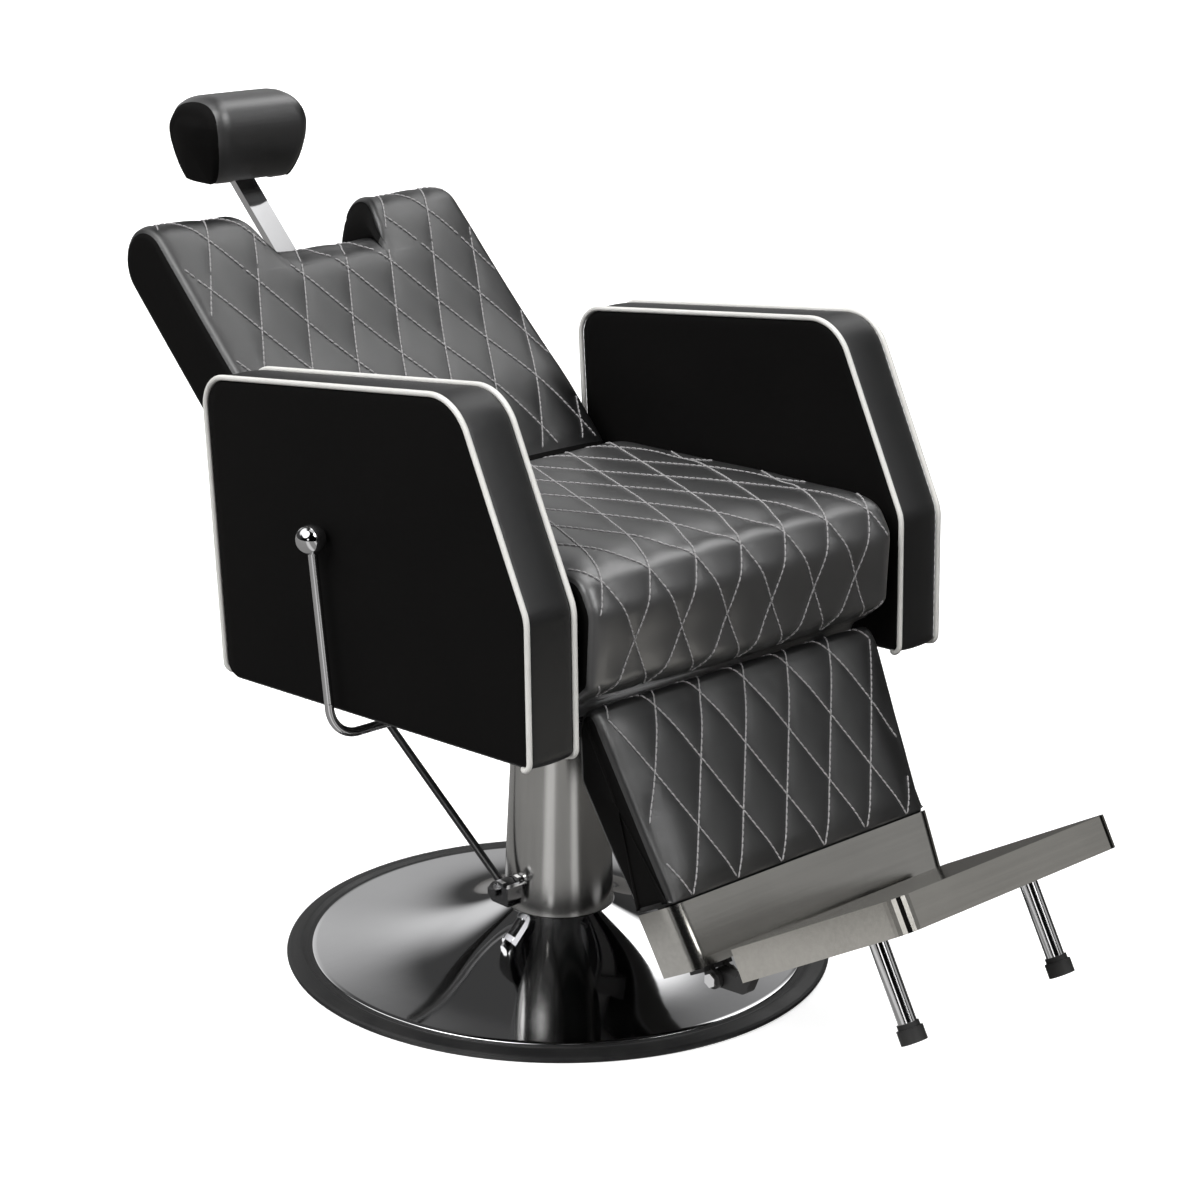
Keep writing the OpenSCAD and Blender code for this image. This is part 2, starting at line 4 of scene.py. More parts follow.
import bpy
import numpy as np
from mathutils import Matrix, Vector
from mathutils.bvhtree import BVHTree


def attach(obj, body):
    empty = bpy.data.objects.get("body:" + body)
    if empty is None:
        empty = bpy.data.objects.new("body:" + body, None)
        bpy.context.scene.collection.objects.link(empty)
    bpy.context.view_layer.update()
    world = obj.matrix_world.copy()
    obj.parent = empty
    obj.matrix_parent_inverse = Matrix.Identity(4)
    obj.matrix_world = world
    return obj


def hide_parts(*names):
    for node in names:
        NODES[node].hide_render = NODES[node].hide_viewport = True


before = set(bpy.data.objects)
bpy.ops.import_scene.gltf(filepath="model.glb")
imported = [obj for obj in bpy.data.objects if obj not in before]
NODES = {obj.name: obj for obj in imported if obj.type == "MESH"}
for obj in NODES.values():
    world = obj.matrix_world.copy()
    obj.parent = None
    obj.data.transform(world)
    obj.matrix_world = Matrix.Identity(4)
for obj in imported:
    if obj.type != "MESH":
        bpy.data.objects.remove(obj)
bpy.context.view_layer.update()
scene = bpy.context.scene
MM = 0.001

# ---------------------------------------------------------------- shared numbers (mm)
H = (208.4, 545.6)          # recline pivot (y, z)
L = (-297.0, 418.0)         # leg rest pivot (y, z)
BACK_TILT = math.radians(46)
LEG_TILT = math.radians(28)
PLAT_TILT = math.radians(30)
P0 = (-466.0, 199.5)
Q = (H[0] + 546 * math.sin(BACK_TILT) + 36 * math.cos(BACK_TILT),
     H[1] + 546 * math.cos(BACK_TILT) - 36 * math.sin(BACK_TILT))
SEAT_HW, BACK_HW, HEAD_HW = 257.0, 251.0, 82.0
ARM_IN, ARM_T = 269.0, 70.0


def tilted(origin, angle):
    """Maps local (x, n, s) in mm to metres in the frame: -n is the front, +s is up along the panel."""
    c, s_ = math.cos(angle), math.sin(angle)

    def go(p):
        p = np.asarray(p, float)
        out = np.empty_like(p)
        out[..., 0] = p[..., 0]
        out[..., 1] = origin[0] + p[..., 1] * c + p[..., 2] * s_
        out[..., 2] = origin[1] - p[..., 1] * s_ + p[..., 2] * c
        return out * MM
    return go


AT_BACK = tilted(H, BACK_TILT)
AT_LEG = tilted(L, LEG_TILT)
AT_PLAT = tilted(P0, PLAT_TILT)
PLAIN = tilted((0.0, 0.0), 0.0)


# ================================================================ materials
class Mat:
    """A node material with a few short helpers."""

    def __init__(self, name):
        self.m = bpy.data.materials.new(name)
        self.m.use_nodes = True
        self.t = self.m.node_tree
        self.t.nodes.clear()
        self.out = self.t.nodes.new("ShaderNodeOutputMaterial")
        self.b = self.t.nodes.new("ShaderNodeBsdfPrincipled")
        self.t.links.new(self.b.outputs[0], self.out.inputs[0])
        self.tc = self.t.nodes.new("ShaderNodeTexCoord").outputs["Object"]

    def set(self, **k):
        for name, v in k.items():
            self.b.inputs[name.replace("_", " ")].default_value = v
        return self

    def link(self, a, b):
        self.t.links.new(a, b)

    def scaled(self, s, rot=(0, 0, 0)):
        n = self.t.nodes.new("ShaderNodeMapping")
        n.inputs["Scale"].default_value = s
        n.inputs["Rotation"].default_value = rot
        self.link(self.tc, n.inputs["Vector"])
        return n.outputs[0]

    def noise(self, scale, detail=3.0, rough=0.55, vec=None, distort=0.0):
        n = self.t.nodes.new("ShaderNodeTexNoise")
        n.inputs["Scale"].default_value = scale
        n.inputs["Detail"].default_value = detail
        n.inputs["Roughness"].default_value = rough
        n.inputs["Distortion"].default_value = distort
        self.link(vec or self.tc, n.inputs["Vector"])
        return n.outputs["Fac"]

    def cells(self, scale, feature="DISTANCE_TO_EDGE", vec=None):
        n = self.t.nodes.new("ShaderNodeTexVoronoi")
        n.feature = feature
        n.inputs["Scale"].default_value = scale
        self.link(vec or self.tc, n.inputs["Vector"])
        return n.outputs["Distance"]

    def ramp(self, fac, stops):
        n = self.t.nodes.new("ShaderNodeValToRGB")
        e = n.color_ramp.elements
        while len(e) < len(stops):
            e.new(0.5)
        for el, (p, c) in zip(e, stops):
            el.position = p
            el.color = (c, c, c, 1) if isinstance(c, (int, float)) else (*c, 1)
        self.link(fac, n.inputs[0])
        return n.outputs[0]

    def range(self, fac, a, b, lo=0.0, hi=1.0):
        n = self.t.nodes.new("ShaderNodeMapRange")
        n.inputs["From Min"].default_value = lo
        n.inputs["From Max"].default_value = hi
        n.inputs["To Min"].default_value = a
        n.inputs["To Max"].default_value = b
        self.link(fac, n.inputs["Value"])
        return n.outputs[0]

    def math(self, op, a, b):
        n = self.t.nodes.new("ShaderNodeMath")
        n.operation = op
        for i, v in enumerate((a, b)):
            if isinstance(v, (int, float)):
                n.inputs[i].default_value = v
            else:
                self.link(v, n.inputs[i])
        return n.outputs[0]

    def mix(self, fac, a, b):
        n = self.t.nodes.new("ShaderNodeMix")
        n.data_type = "RGBA"
        if isinstance(fac, (int, float)):
            n.inputs[0].default_value = fac
        else:
            self.link(fac, n.inputs[0])
        for i, v in ((6, a), (7, b)):
            if isinstance(v, tuple):
                n.inputs[i].default_value = (*v, 1)
            else:
                self.link(v, n.inputs[i])
        return n.outputs[2]

    def bump(self, height, strength, dist, after=None):
        n = self.t.nodes.new("ShaderNodeBump")
        n.inputs["Strength"].default_value = strength
        n.inputs["Distance"].default_value = dist
        self.link(height, n.inputs["Height"])
        if after is not None:
            self.link(after, n.inputs["Normal"])
        return n.outputs[0]

    def edges(self, lo=0.52, hi=0.6):
        g = self.t.nodes.new("ShaderNodeNewGeometry")
        return self.ramp(g.outputs["Pointiness"], [(lo, 0.0), (hi, 1.0)])


def leather(name, dark, light, rough, spec, grain=0.0013, depth=0.00016, strength=0.55):
    k = Mat(name)
    pebble = k.ramp(k.cells(1 / grain), [(0.0, 0.0), (0.16, 0.75), (0.5, 1.0)])
    broad = k.noise(7.0, 4.0, 0.6)
    fine = k.noise(900.0, 2.0, 0.6)
    tone = k.mix(k.range(broad, 0.0, 1.0, 0.3, 0.7), dark, light)
    worn = k.mix(k.math("MULTIPLY", k.edges(0.53, 0.62), 0.35), tone, tuple(min(1.0, c * 2.2) for c in light))
    k.link(k.mix(k.math("MULTIPLY", pebble, 0.3), worn, tuple(c * 1.25 for c in light)), k.b.inputs["Base Color"])
    k.link(k.range(k.math("ADD", k.math("MULTIPLY", broad, 0.75), k.math("MULTIPLY", fine, 0.25)), rough[0], rough[1], 0.3, 0.7), k.b.inputs["Roughness"])
    h = k.math("ADD", k.math("MULTIPLY", pebble, 0.8), k.math("MULTIPLY", fine, 0.2))
    k.link(k.bump(k.noise(60.0, 3.0, 0.5), 0.25, 0.0008, k.bump(h, strength, depth)), k.b.inputs["Normal"])
    k.b.inputs["Specular IOR Level"].default_value = spec
    return k.m


def chrome(name, tone=(0.78, 0.78, 0.79), rough=(0.035, 0.10), wave=0.12):
    k = Mat(name)
    broad = k.noise(9.0, 5.0, 0.62)
    smear = k.noise(160.0, 3.0, 0.6, k.scaled((1.0, 1.0, 0.25)))
    k.link(k.mix(k.range(broad, 0.0, 0.25, 0.35, 0.75), tone, tuple(c * 0.86 for c in tone)), k.b.inputs["Base Color"])
    k.link(k.range(k.math("ADD", k.math("MULTIPLY", broad, 0.7), k.math("MULTIPLY", smear, 0.3)), rough[0], rough[1], 0.35, 0.7), k.b.inputs["Roughness"])
    k.link(k.bump(k.noise(22.0, 2.0, 0.4), wave, 0.0004), k.b.inputs["Normal"])
    k.b.inputs["Metallic"].default_value = 1.0
    return k.m


def brushed(name, along, tone=(0.60, 0.59, 0.565), rough=(0.20, 0.34), strength=0.35, fine=2600.0):
    """Brushed steel; along is 0, 1 or 2 for lines that run along X, Y or Z."""
    k = Mat(name)
    s = [1.0, 1.0, 1.0]
    s[along] = 0.012
    v = k.scaled(tuple(s))
    lines = k.noise(fine, 3.0, 0.7, v)
    wide = k.noise(fine / 14, 3.0, 0.6, v)
    broad = k.noise(6.0, 4.0, 0.6)
    tint = k.mix(k.range(broad, 0.0, 1.0, 0.35, 0.7), tone, tuple(c * 0.88 for c in tone))
    k.link(k.mix(k.range(wide, 0.0, 0.35, 0.35, 0.7), tint, tuple(min(1, c * 1.16) for c in tone)), k.b.inputs["Base Color"])
    k.link(k.range(lines, rough[0], rough[1], 0.3, 0.7), k.b.inputs["Roughness"])
    k.link(k.bump(lines, strength, 0.00006, k.bump(wide, 0.15, 0.00008)), k.b.inputs["Normal"])
    k.b.inputs["Metallic"].default_value = 1.0
    return k.m


def painted(name, tone=(0.012, 0.012, 0.013), rough=(0.32, 0.46)):
    k = Mat(name)
    peel = k.noise(420.0, 2.0, 0.5)
    broad = k.noise(11.0, 5.0, 0.6)
    k.link(k.mix(k.math("MULTIPLY", k.edges(0.55, 0.7), 0.5), tone, (0.09, 0.088, 0.085)), k.b.inputs["Base Color"])
    k.link(k.range(broad, rough[0], rough[1], 0.3, 0.7), k.b.inputs["Roughness"])
    k.link(k.bump(peel, 0.22, 0.0003), k.b.inputs["Normal"])
    return k.m


def rubber(name, tone=(0.014, 0.014, 0.014), rough=(0.55, 0.78)):
    k = Mat(name)
    grit = k.noise(1100.0, 3.0, 0.7)
    broad = k.noise(14.0, 5.0, 0.65)
    dusty = k.mix(k.range(broad, 0.0, 0.35, 0.45, 0.8), tone, (0.05, 0.049, 0.046))
    k.link(k.mix(k.math("MULTIPLY", k.edges(0.52, 0.65), 0.3), dusty, (0.07, 0.069, 0.066)), k.b.inputs["Base Color"])
    k.link(k.range(broad, rough[0], rough[1], 0.3, 0.7), k.b.inputs["Roughness"])
    k.link(k.bump(grit, 0.4, 0.00025), k.b.inputs["Normal"])
    k.b.inputs["Specular IOR Level"].default_value = 0.4
    return k.m


def plywood(name):
    k = Mat(name)
    grain = k.noise(70.0, 4.0, 0.6, k.scaled((1.0, 0.06, 1.0)), 1.2)
    plies = k.noise(420.0, 1.0, 0.5, k.scaled((0.02, 0.02, 1.0)))
    a = k.ramp(grain, [(0.3, (0.42, 0.26, 0.13)), (0.55, (0.58, 0.40, 0.22)), (0.75, (0.66, 0.48, 0.29))])
    k.link(k.mix(k.math("MULTIPLY", k.range(plies, 0.0, 0.6, 0.45, 0.6), 0.5), a, (0.30, 0.18, 0.09)), k.b.inputs["Base Color"])
    k.link(k.range(grain, 0.5, 0.7, 0.3, 0.7), k.b.inputs["Roughness"])
    k.link(k.bump(grain, 0.3, 0.0003), k.b.inputs["Normal"])
    return k.m


def thread(name, tone=(0.47, 0.46, 0.465)):
    k = Mat(name)
    twist = k.noise(1800.0, 2.0, 0.5, k.scaled((1.0, 1.0, 1.0), (0.6, 0.6, 0.6)))
    k.link(k.mix(k.range(twist, 0.0, 1.0, 0.3, 0.7), tuple(c * 0.75 for c in tone), tone), k.b.inputs["Base Color"])
    k.link(k.range(twist, 0.45, 0.7), k.b.inputs["Roughness"])
    k.link(k.bump(twist, 0.4, 0.0003), k.b.inputs["Normal"])
    k.set(Sheen_Weight=0.25, Sheen_Roughness=0.4)
    return k.m


def vinyl(name, tone=(0.80, 0.79, 0.76)):
    k = Mat(name)
    broad = k.noise(25.0, 4.0, 0.6)
    k.link(k.mix(k.range(broad, 0.0, 0.5, 0.45, 0.75), tone, tuple(c * 0.86 for c in tone)), k.b.inputs["Base Color"])
    k.link(k.range(broad, 0.32, 0.48, 0.3, 0.7), k.b.inputs["Roughness"])
    k.link(k.bump(k.cells(1100.0), 0.2, 0.0001), k.b.inputs["Normal"])
    return k.m


M = {
    "quilt": leather("leather_quilted", (0.0045, 0.0045, 0.0048), (0.0078, 0.0078, 0.0082), (0.31, 0.39), 1.0),
    # the seat's leather is a lighter copy of the same black leather: its raised base colour is painted light for the
    # brighter light the seat top and front roll catch
    "seat": leather("leather_seat_painted_light", (0.027, 0.027, 0.0275), (0.037, 0.037, 0.0375), (0.34, 0.43), 1.0),
    # the side faces take a darker, duller copy of the same leather: its darker base colour is painted shade for the
    # faces that the light misses, and its matte finish is a setting of its own
    "side": leather("leather_side_panel_painted_shade", (0.0022, 0.0020, 0.0020), (0.0036, 0.0033, 0.0032), (0.62, 0.74), 0.10),
    "band": leather("leather_arm_band", (0.0045, 0.0045, 0.0048), (0.0075, 0.0075, 0.0079), (0.37, 0.46), 0.55),
    "head": leather("leather_head_rest", (0.0095, 0.0095, 0.0098), (0.0145, 0.0145, 0.0150), (0.38, 0.47), 1.0),
    "chrome": chrome("chrome_plate"),
    "rod": chrome("chrome_rod", rough=(0.09, 0.15), wave=0.02),
    "cover": chrome("chrome_cover", (0.74, 0.74, 0.75), (0.03, 0.075)),
    "sleeve": brushed("brushed_sleeve", 2, (0.64, 0.635, 0.62), (0.13, 0.20), 0.2),
    "band_steel": brushed("brushed_band", 0, (0.46, 0.45, 0.425), (0.13, 0.21), 0.25),
    "brushed": brushed("brushed_parts", 0),
    "tray": brushed("brushed_tray", 0, (0.50, 0.485, 0.45), (0.12, 0.19), 0.2),
    "black": painted("black_paint"),
    "rubber": rubber("black_rubber"),
    "ring": rubber("rubber_rim", (0.010, 0.010, 0.0105), (0.38, 0.52)),
    "wood": plywood("birch_plywood"),
    "thread": thread("quilting_thread", (0.36, 0.352, 0.356)),
    "piping": vinyl("white_piping"),
}


for key, weight in (("seat", 0.9), ("head", 0.8)):
    M[key].node_tree.nodes["Principled BSDF"].inputs["Coat Weight"].default_value = weight
    M[key].node_tree.nodes["Principled BSDF"].inputs["Coat Roughness"].default_value = 0.36


# ================================================================ mesh helpers
def mesh_object(name, V, F, mats, body=None, smooth=True, face_mats=None):
    me = bpy.data.meshes.new(name)
    me.from_pydata([tuple(v) for v in np.asarray(V, float)], [], F)
    me.validate()
    if smooth:
        me.polygons.foreach_set("use_smooth", [True] * len(me.polygons))
    for m in mats if isinstance(mats, (list, tuple)) else [mats]:
        me.materials.append(m)
    if face_mats is not None and len(face_mats) == len(me.polygons):
        me.polygons.foreach_set("material_index", list(face_mats))
    me.update()
    ob = bpy.data.objects.new(name, me)
    scene.collection.objects.link(ob)
    if body:
        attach(ob, body)
    return ob


def rounded(pts, k=10):
    """Closed polygon of (y, z, radius) with its corners rounded."""
    out, n = [], len(pts)
    for i in range(n):
        a, b, c = (np.array(pts[j % n][:2], float) for j in (i - 1, i, i + 1))
        r = pts[i][2]
        if r <= 0:
            out.append(b)
            continue
        u, v = (a - b) / np.linalg.norm(a - b), (c - b) / np.linalg.norm(c - b)
        h = math.acos(max(-1, min(1, float(u @ v)))) / 2
        t = r / math.tan(h)
        w = u + v
        o = b + w / np.linalg.norm(w) * r / math.sin(h)
        p, q = b + u * t, b + v * t
        a0 = math.atan2(*(p - o)[::-1])
        a1 = math.atan2(*(q - o)[::-1])
        d = (a1 - a0 + math.pi) % (2 * math.pi) - math.pi
        out += [o + r * np.array([math.cos(a0 + d * j / k), math.sin(a0 + d * j / k)]) for j in range(k + 1)]
    return np.array(out)


def chaikin(p, n):
    p = np.array(p, float)
    for _ in range(n):
        q = np.roll(p, -1, 0)
        p = np.stack([p * 0.75 + q * 0.25, p * 0.25 + q * 0.75], 1).reshape(-1, 2)
    return p


def from_start(pts, start):
    """Closed outline turned so that it begins at the point nearest start, with its arc lengths."""
    pts = np.asarray(pts, float)
    dense = np.concatenate([np.linspace(pts[i], pts[(i + 1) % len(pts)], max(2, int(np.linalg.norm(pts[(i + 1) % len(pts)] - pts[i]) / 0.5) + 1))[:-1] for i in range(len(pts))])
    i = int(np.argmin(np.linalg.norm(dense - np.array(start), axis=1)))
    dense = np.roll(dense, -i, 0)
    seg = np.linalg.norm(np.roll(dense, -1, 0) - dense, axis=1)
    s = np.concatenate([[0], np.cumsum(seg)])
    return np.vstack([dense, dense[:1]]), s


def sample(line, s):
    pts, arc = line
    return np.stack([np.interp(s, arc, pts[:, 0]), np.interp(s, arc, pts[:, 1])], 1)


def steps(total, fine_to, fine, coarse):
    a = np.arange(0, fine_to, fine)
    n = max(2, int((total - fine_to) / coarse))
    return np.concatenate([a, np.linspace(fine_to, total, n + 1)[:-1]])


def profile_normals(p):
    d = np.roll(p, -1, 0) - np.roll(p, 1, 0)
    n = np.stack([-d[:, 1], d[:, 0]], 1)
    return n / np.maximum(np.linalg.norm(n, axis=1, keepdims=True), 1e-9)


class Form:
    """A closed upholstered form: rings of a profile from one side to the other.
    X and S are each point's place on the leather in mm: across, and along the profile. A is the arc across."""

    def __init__(self, P, X, S, A):
        self.P, self.X, self.S, self.A = P, X, S, A

    def normals(self):
        P = self.P
        dj = np.roll(P, -1, 1) - np.roll(P, 1, 1)
        dk = np.empty_like(P)
        dk[1:-1] = P[2:] - P[:-2]
        dk[0], dk[-1] = P[1] - P[0], P[-1] - P[-2]
        n = np.cross(dk, dj)
        l = np.linalg.norm(n, axis=2, keepdims=True)
        return n / np.maximum(l, 1e-12)

    def faces(self):
        K, J = self.P.shape[:2]
        idx = np.arange(K * J).reshape(K, J)
        a, b = idx[:-1], idx[1:]
        q = np.stack([a, np.roll(a, -1, 1), np.roll(b, -1, 1), b], 2).reshape(-1, 4)
        left = [(int(idx[0, j]), K * J, int(idx[0, (j + 1) % J])) for j in range(J)]
        right = [(int(idx[-1, j]), int(idx[-1, (j + 1) % J]), K * J + 1) for j in range(J)]
        return [tuple(map(int, f[::-1])) for f in q] + [f[::-1] for f in left] + [f[::-1] for f in right]

    def verts(self):
        return np.vstack([self.P.reshape(-1, 3), self.P[0].mean(0), self.P[-1].mean(0)])

    def at(self, ks, x, s):
        """Surface point and normal where the leather's place is (x, s), among the rings ks."""
        P, n = self.P, self.N
        row = self.S[ks[0]]
        top = int(np.argmax(row))
        j = float(np.interp(s, row[:top + 1], np.arange(top + 1)))
        j0 = min(int(j), top - 1)
        f = j - j0
        xr = self.X[ks[0]:ks[1], j0] * (1 - f) + self.X[ks[0]:ks[1], j0 + 1] * f
        k = float(np.interp(x, xr, np.arange(len(xr)))) + ks[0]
        k0 = min(int(k), ks[1] - 2)
        g = k - k0
        w = [((1 - g) * (1 - f), k0, j0), (g * (1 - f), k0 + 1, j0), ((1 - g) * f, k0, j0 + 1), (g * f, k0 + 1, j0 + 1)]
        p = sum(c * P[a, b] for c, a, b in w)
        m = sum(c * n[a, b] for c, a, b in w)
        return p, m / max(np.linalg.norm(m), 1e-9)


def cross_section(hw, r, step, rings, crown, ring0=0.96):
    """Stations from the middle out to the end's centre, then mirrored: x, inset, ring scale, arc."""
    n = max(2, int(round((hw - r) / step)))
    xs = list(np.linspace(0, hw - r, n + 1))
    ins, f, A = [0.0] * len(xs), [1.0] * len(xs), list(xs)
    for i in range(1, 7):
        t = math.pi / 2 * i / 6
        xs.append(hw - r + r * math.sin(t))
        ins.append(r * (1 - math.cos(t)))
        f.append(1.0)
        A.append(hw - r + r * t)
    for i in range(1, rings):
        g = ring0 * (1 - (i - 1) / (rings - 1)) if rings > 1 else 0.5
        xs.append(hw + crown * (1 - g * g))
        ins.append(r)
        f.append(g)
        A.append(A[-1] + 4.0)
    xs, ins, f, A = map(np.array, (xs, ins, f, A))
    mir = lambda v, sgn: np.concatenate([sgn * v[:0:-1], v])
    return mir(xs, -1), mir(ins, 1), mir(f, 1), mir(A, -1)


def simple_form(line, S, hw, r, step, rings, crown, to_world, width=None, x0=0.0, pull=0.0):
    """A form with one profile. width(points) scales x at each profile point; pull shrinks the whole."""
    prof = sample(line, S)
    N = profile_normals(prof)
    x, ins, f, A = cross_section(hw - pull, r, step, rings, crown)
    c = prof.mean(0)
    K, J = len(x), len(S)
    P = np.zeros((K, J, 3))
    for k in range(K):
        ring = prof - N * (ins[k] + pull)
        ring = c + f[k] * (ring - c)
        P[k, :, 1:] = ring
        P[k, :, 0] = x[k] * (width(ring) if width is not None else 1.0) + x0
    X = P[:, :, 0] - x0
    return Form(to_world(P), X, np.repeat(S[None], K, 0), np.repeat(A[:, None], J, 1))


def puffed(name, form, voxel, pressure, cap, pins, frames=20, thick=30.0):
    """Blows the form up as cloth and returns how far each grid point moves along its normal, in mm."""
    K, J = form.P.shape[:2]
    me = bpy.data.meshes.new(name + "_sim")
    me.from_pydata([tuple(v) for v in form.verts()], [], form.faces())
    ob = bpy.data.objects.new(name + "_sim", me)
    scene.collection.objects.link(ob)
    rm = ob.modifiers.new("remesh", "REMESH")
    rm.mode, rm.voxel_size = "VOXEL", voxel * MM
    dg = bpy.context.evaluated_depsgraph_get()
    solid = bpy.data.meshes.new_from_object(ob.evaluated_get(dg))
    bpy.data.objects.remove(ob)
    ob = bpy.data.objects.new(name + "_cloth", solid)
    scene.collection.objects.link(ob)
    co = np.array([v.co for v in solid.vertices])
    held = [int(i) for i in np.nonzero(pins(co / MM))[0]]
    group = ob.vertex_groups.new(name="held")
    if held:
        group.add(held, 1.0, "REPLACE")
    cl = ob.modifiers.new("cloth", "CLOTH")
    st = cl.settings
    st.quality = 5
    st.mass = 0.35
    st.tension_stiffness = st.compression_stiffness = 25
    st.shear_stiffness = 10
    st.bending_stiffness = 4
    st.use_pressure = True
    st.uniform_pressure_force = pressure
    st.effector_weights.gravity = 0.0
    if held:
        st.vertex_group_mass = "held"
        st.pin_stiffness = 1.0
    cl.collision_settings.use_collision = False
    cl.point_cache.frame_start, cl.point_cache.frame_end = 1, frames
    for fr in range(1, frames + 1):
        scene.frame_set(fr)
    dg = bpy.context.evaluated_depsgraph_get()
    res = ob.evaluated_get(dg).to_mesh()
    new = np.array([v.co for v in res.vertices])
    polys = [tuple(p.vertices) for p in res.polygons]
    ob.evaluated_get(dg).to_mesh_clear()
    d = new - co
    l = np.linalg.norm(d, axis=1, keepdims=True)
    new = co + d * np.minimum(1.0, cap * MM / np.maximum(l, 1e-9))
    bpy.data.objects.remove(ob)
    scene.frame_set(1)
    tree = BVHTree.FromPolygons([Vector(v) for v in new], polys)
    N = form.normals()
    out = np.zeros((K, J))
    back = 0.6 * cap * MM
    for k in range(K):
        for j in range(0, J):
            n = Vector(N[k, j])
            p = Vector(form.P[k, j])
            hit = tree.ray_cast(p - n * back, n, back + 1.5 * cap * MM)
            if hit[0] is not None:
                out[k, j] = ((hit[0] - p).dot(n)) / MM
    # stuffing carries the leather over the small wrinkles
    for _ in range(34):
        out = (out + np.roll(out, 1, 1) + np.roll(out, -1, 1)) / 3
        o = out.copy()
        o[1:-1] = (out[:-2] + out[1:-1] + out[2:]) / 3
        out = o
    return out


def lines_apart(x, s, a, b, x0=0.0, s0=0.0):
    """Distance in mm to each family of quilting lines of diamonds a wide and b long."""
    u, v = (x - x0) / a, (s - s0) / b
    k = 1 / math.hypot(1 / a, 1 / b)
    d1 = np.abs(u + v - np.round(u + v)) * k
    d2 = np.abs(u - v - np.round(u - v)) * k
    return d1, d2


def quilted(x, s, a, b, x0, s0, high, soft=9.0, blunt=1.8):
    """Height of the padding between the stitch lines, in mm: 0 to high, and 0 in the lines."""
    d1, d2 = lines_apart(x, s, a, b, x0, s0)
    p = [1 - np.exp(-(np.sqrt(d * d + blunt * blunt) - blunt) / soft) for d in (d1, d2)]
    # short gathers of the leather beside the thread
    g = 0.16 * np.sin(2 * np.pi * (s + 0.35 * x) / 7.5) * (np.exp(-d1 / 4.0) + np.exp(-d2 / 4.0))
    return high * p[0] * p[1] + g


def smooth01(t):
    t = np.clip(t, 0, 1)
    return t * t * (3 - 2 * t)


def displaced(form, mm):
    form.P = form.P + form.normals() * mm[..., None] * MM
    form.N = form.normals()
    return form


def runs(mask):
    """Start and end of each run of True."""
    m = np.concatenate([[False], mask, [False]])
    d = np.flatnonzero(m[1:] != m[:-1])
    return list(zip(d[::2], d[1::2]))


def quilt_paths(form, ks, a, b, x0, s0, s_lo, s_hi, inside):
    """Paths of the quilting lines on the form's surface, cut to where inside(x, s) holds."""
    paths = []
    s = np.arange(s_lo, s_hi + 0.5, 1.5)
    reach = int(2 * (300 / a + (s_hi - s_lo) / b)) + 2
    for sign in (1, -1):
        for k in range(-reach, reach + 1):
            x = x0 + a * (k - sign * (s - s0) / b)
            for i, j in runs(inside(x, s)):
                if j - i < 8:
                    continue
                pn = [form.at(ks, x[q], s[q]) for q in range(i, j)]
                paths.append((np.array([p for p, _ in pn]), np.array([n for _, n in pn])))
    return paths


def stitches(name, paths, body, mat, radius=1.08, length=7.5, pitch=7.85, lift=0.42):
    """Thread as separate stitches that dive into the leather at both ends."""
    V, F = [], []
    ts = np.array([-1.0, -0.72, 0.0, 0.72, 1.0])
    hs = np.array([-0.45, 0.12, 0.3, 0.12, -0.45]) + lift
    rs = np.array([0.55, 0.95, 1.0, 0.95, 0.55]) * radius
    ang = np.linspace(0, 2 * np.pi, 6, endpoint=False)
    for P, N in paths:
        d = np.concatenate([[0], np.cumsum(np.linalg.norm(np.diff(P, axis=0), axis=1))]) / MM
        n = int(d[-1] / pitch)
        if n < 1:
            continue
        off = (d[-1] - n * pitch) / 2 + pitch / 2
        for i in range(n):
            c = off + i * pitch
            at = c + ts * length / 2
            p = np.stack([np.interp(at, d, P[:, m]) for m in range(3)], 1)
            nn = np.stack([np.interp(at, d, N[:, m]) for m in range(3)], 1)
            nn /= np.maximum(np.linalg.norm(nn, axis=1, keepdims=True), 1e-9)
            t = p[-1] - p[0]
            t /= max(np.linalg.norm(t), 1e-9)
            side = np.cross(nn, t)
            side /= np.maximum(np.linalg.norm(side, axis=1, keepdims=True), 1e-9)
            base = len(V)
            for q in range(5):
                o = p[q] + nn[q] * hs[q] * MM
                for w in ang:
                    V.append(o + (math.cos(w) * side[q] + math.sin(w) * nn[q]) * rs[q] * MM)
            for q in range(4):
                for w in range(6):
                    a0, a1 = base + q * 6 + w, base + q * 6 + (w + 1) % 6
                    F.append((a0, a1, a1 + 6, a0 + 6))
            F.append(tuple(base + w for w in range(5, -1, -1)))
            F.append(tuple(base + 24 + w for w in range(6)))
    return mesh_object(name, V, F, mat, body)


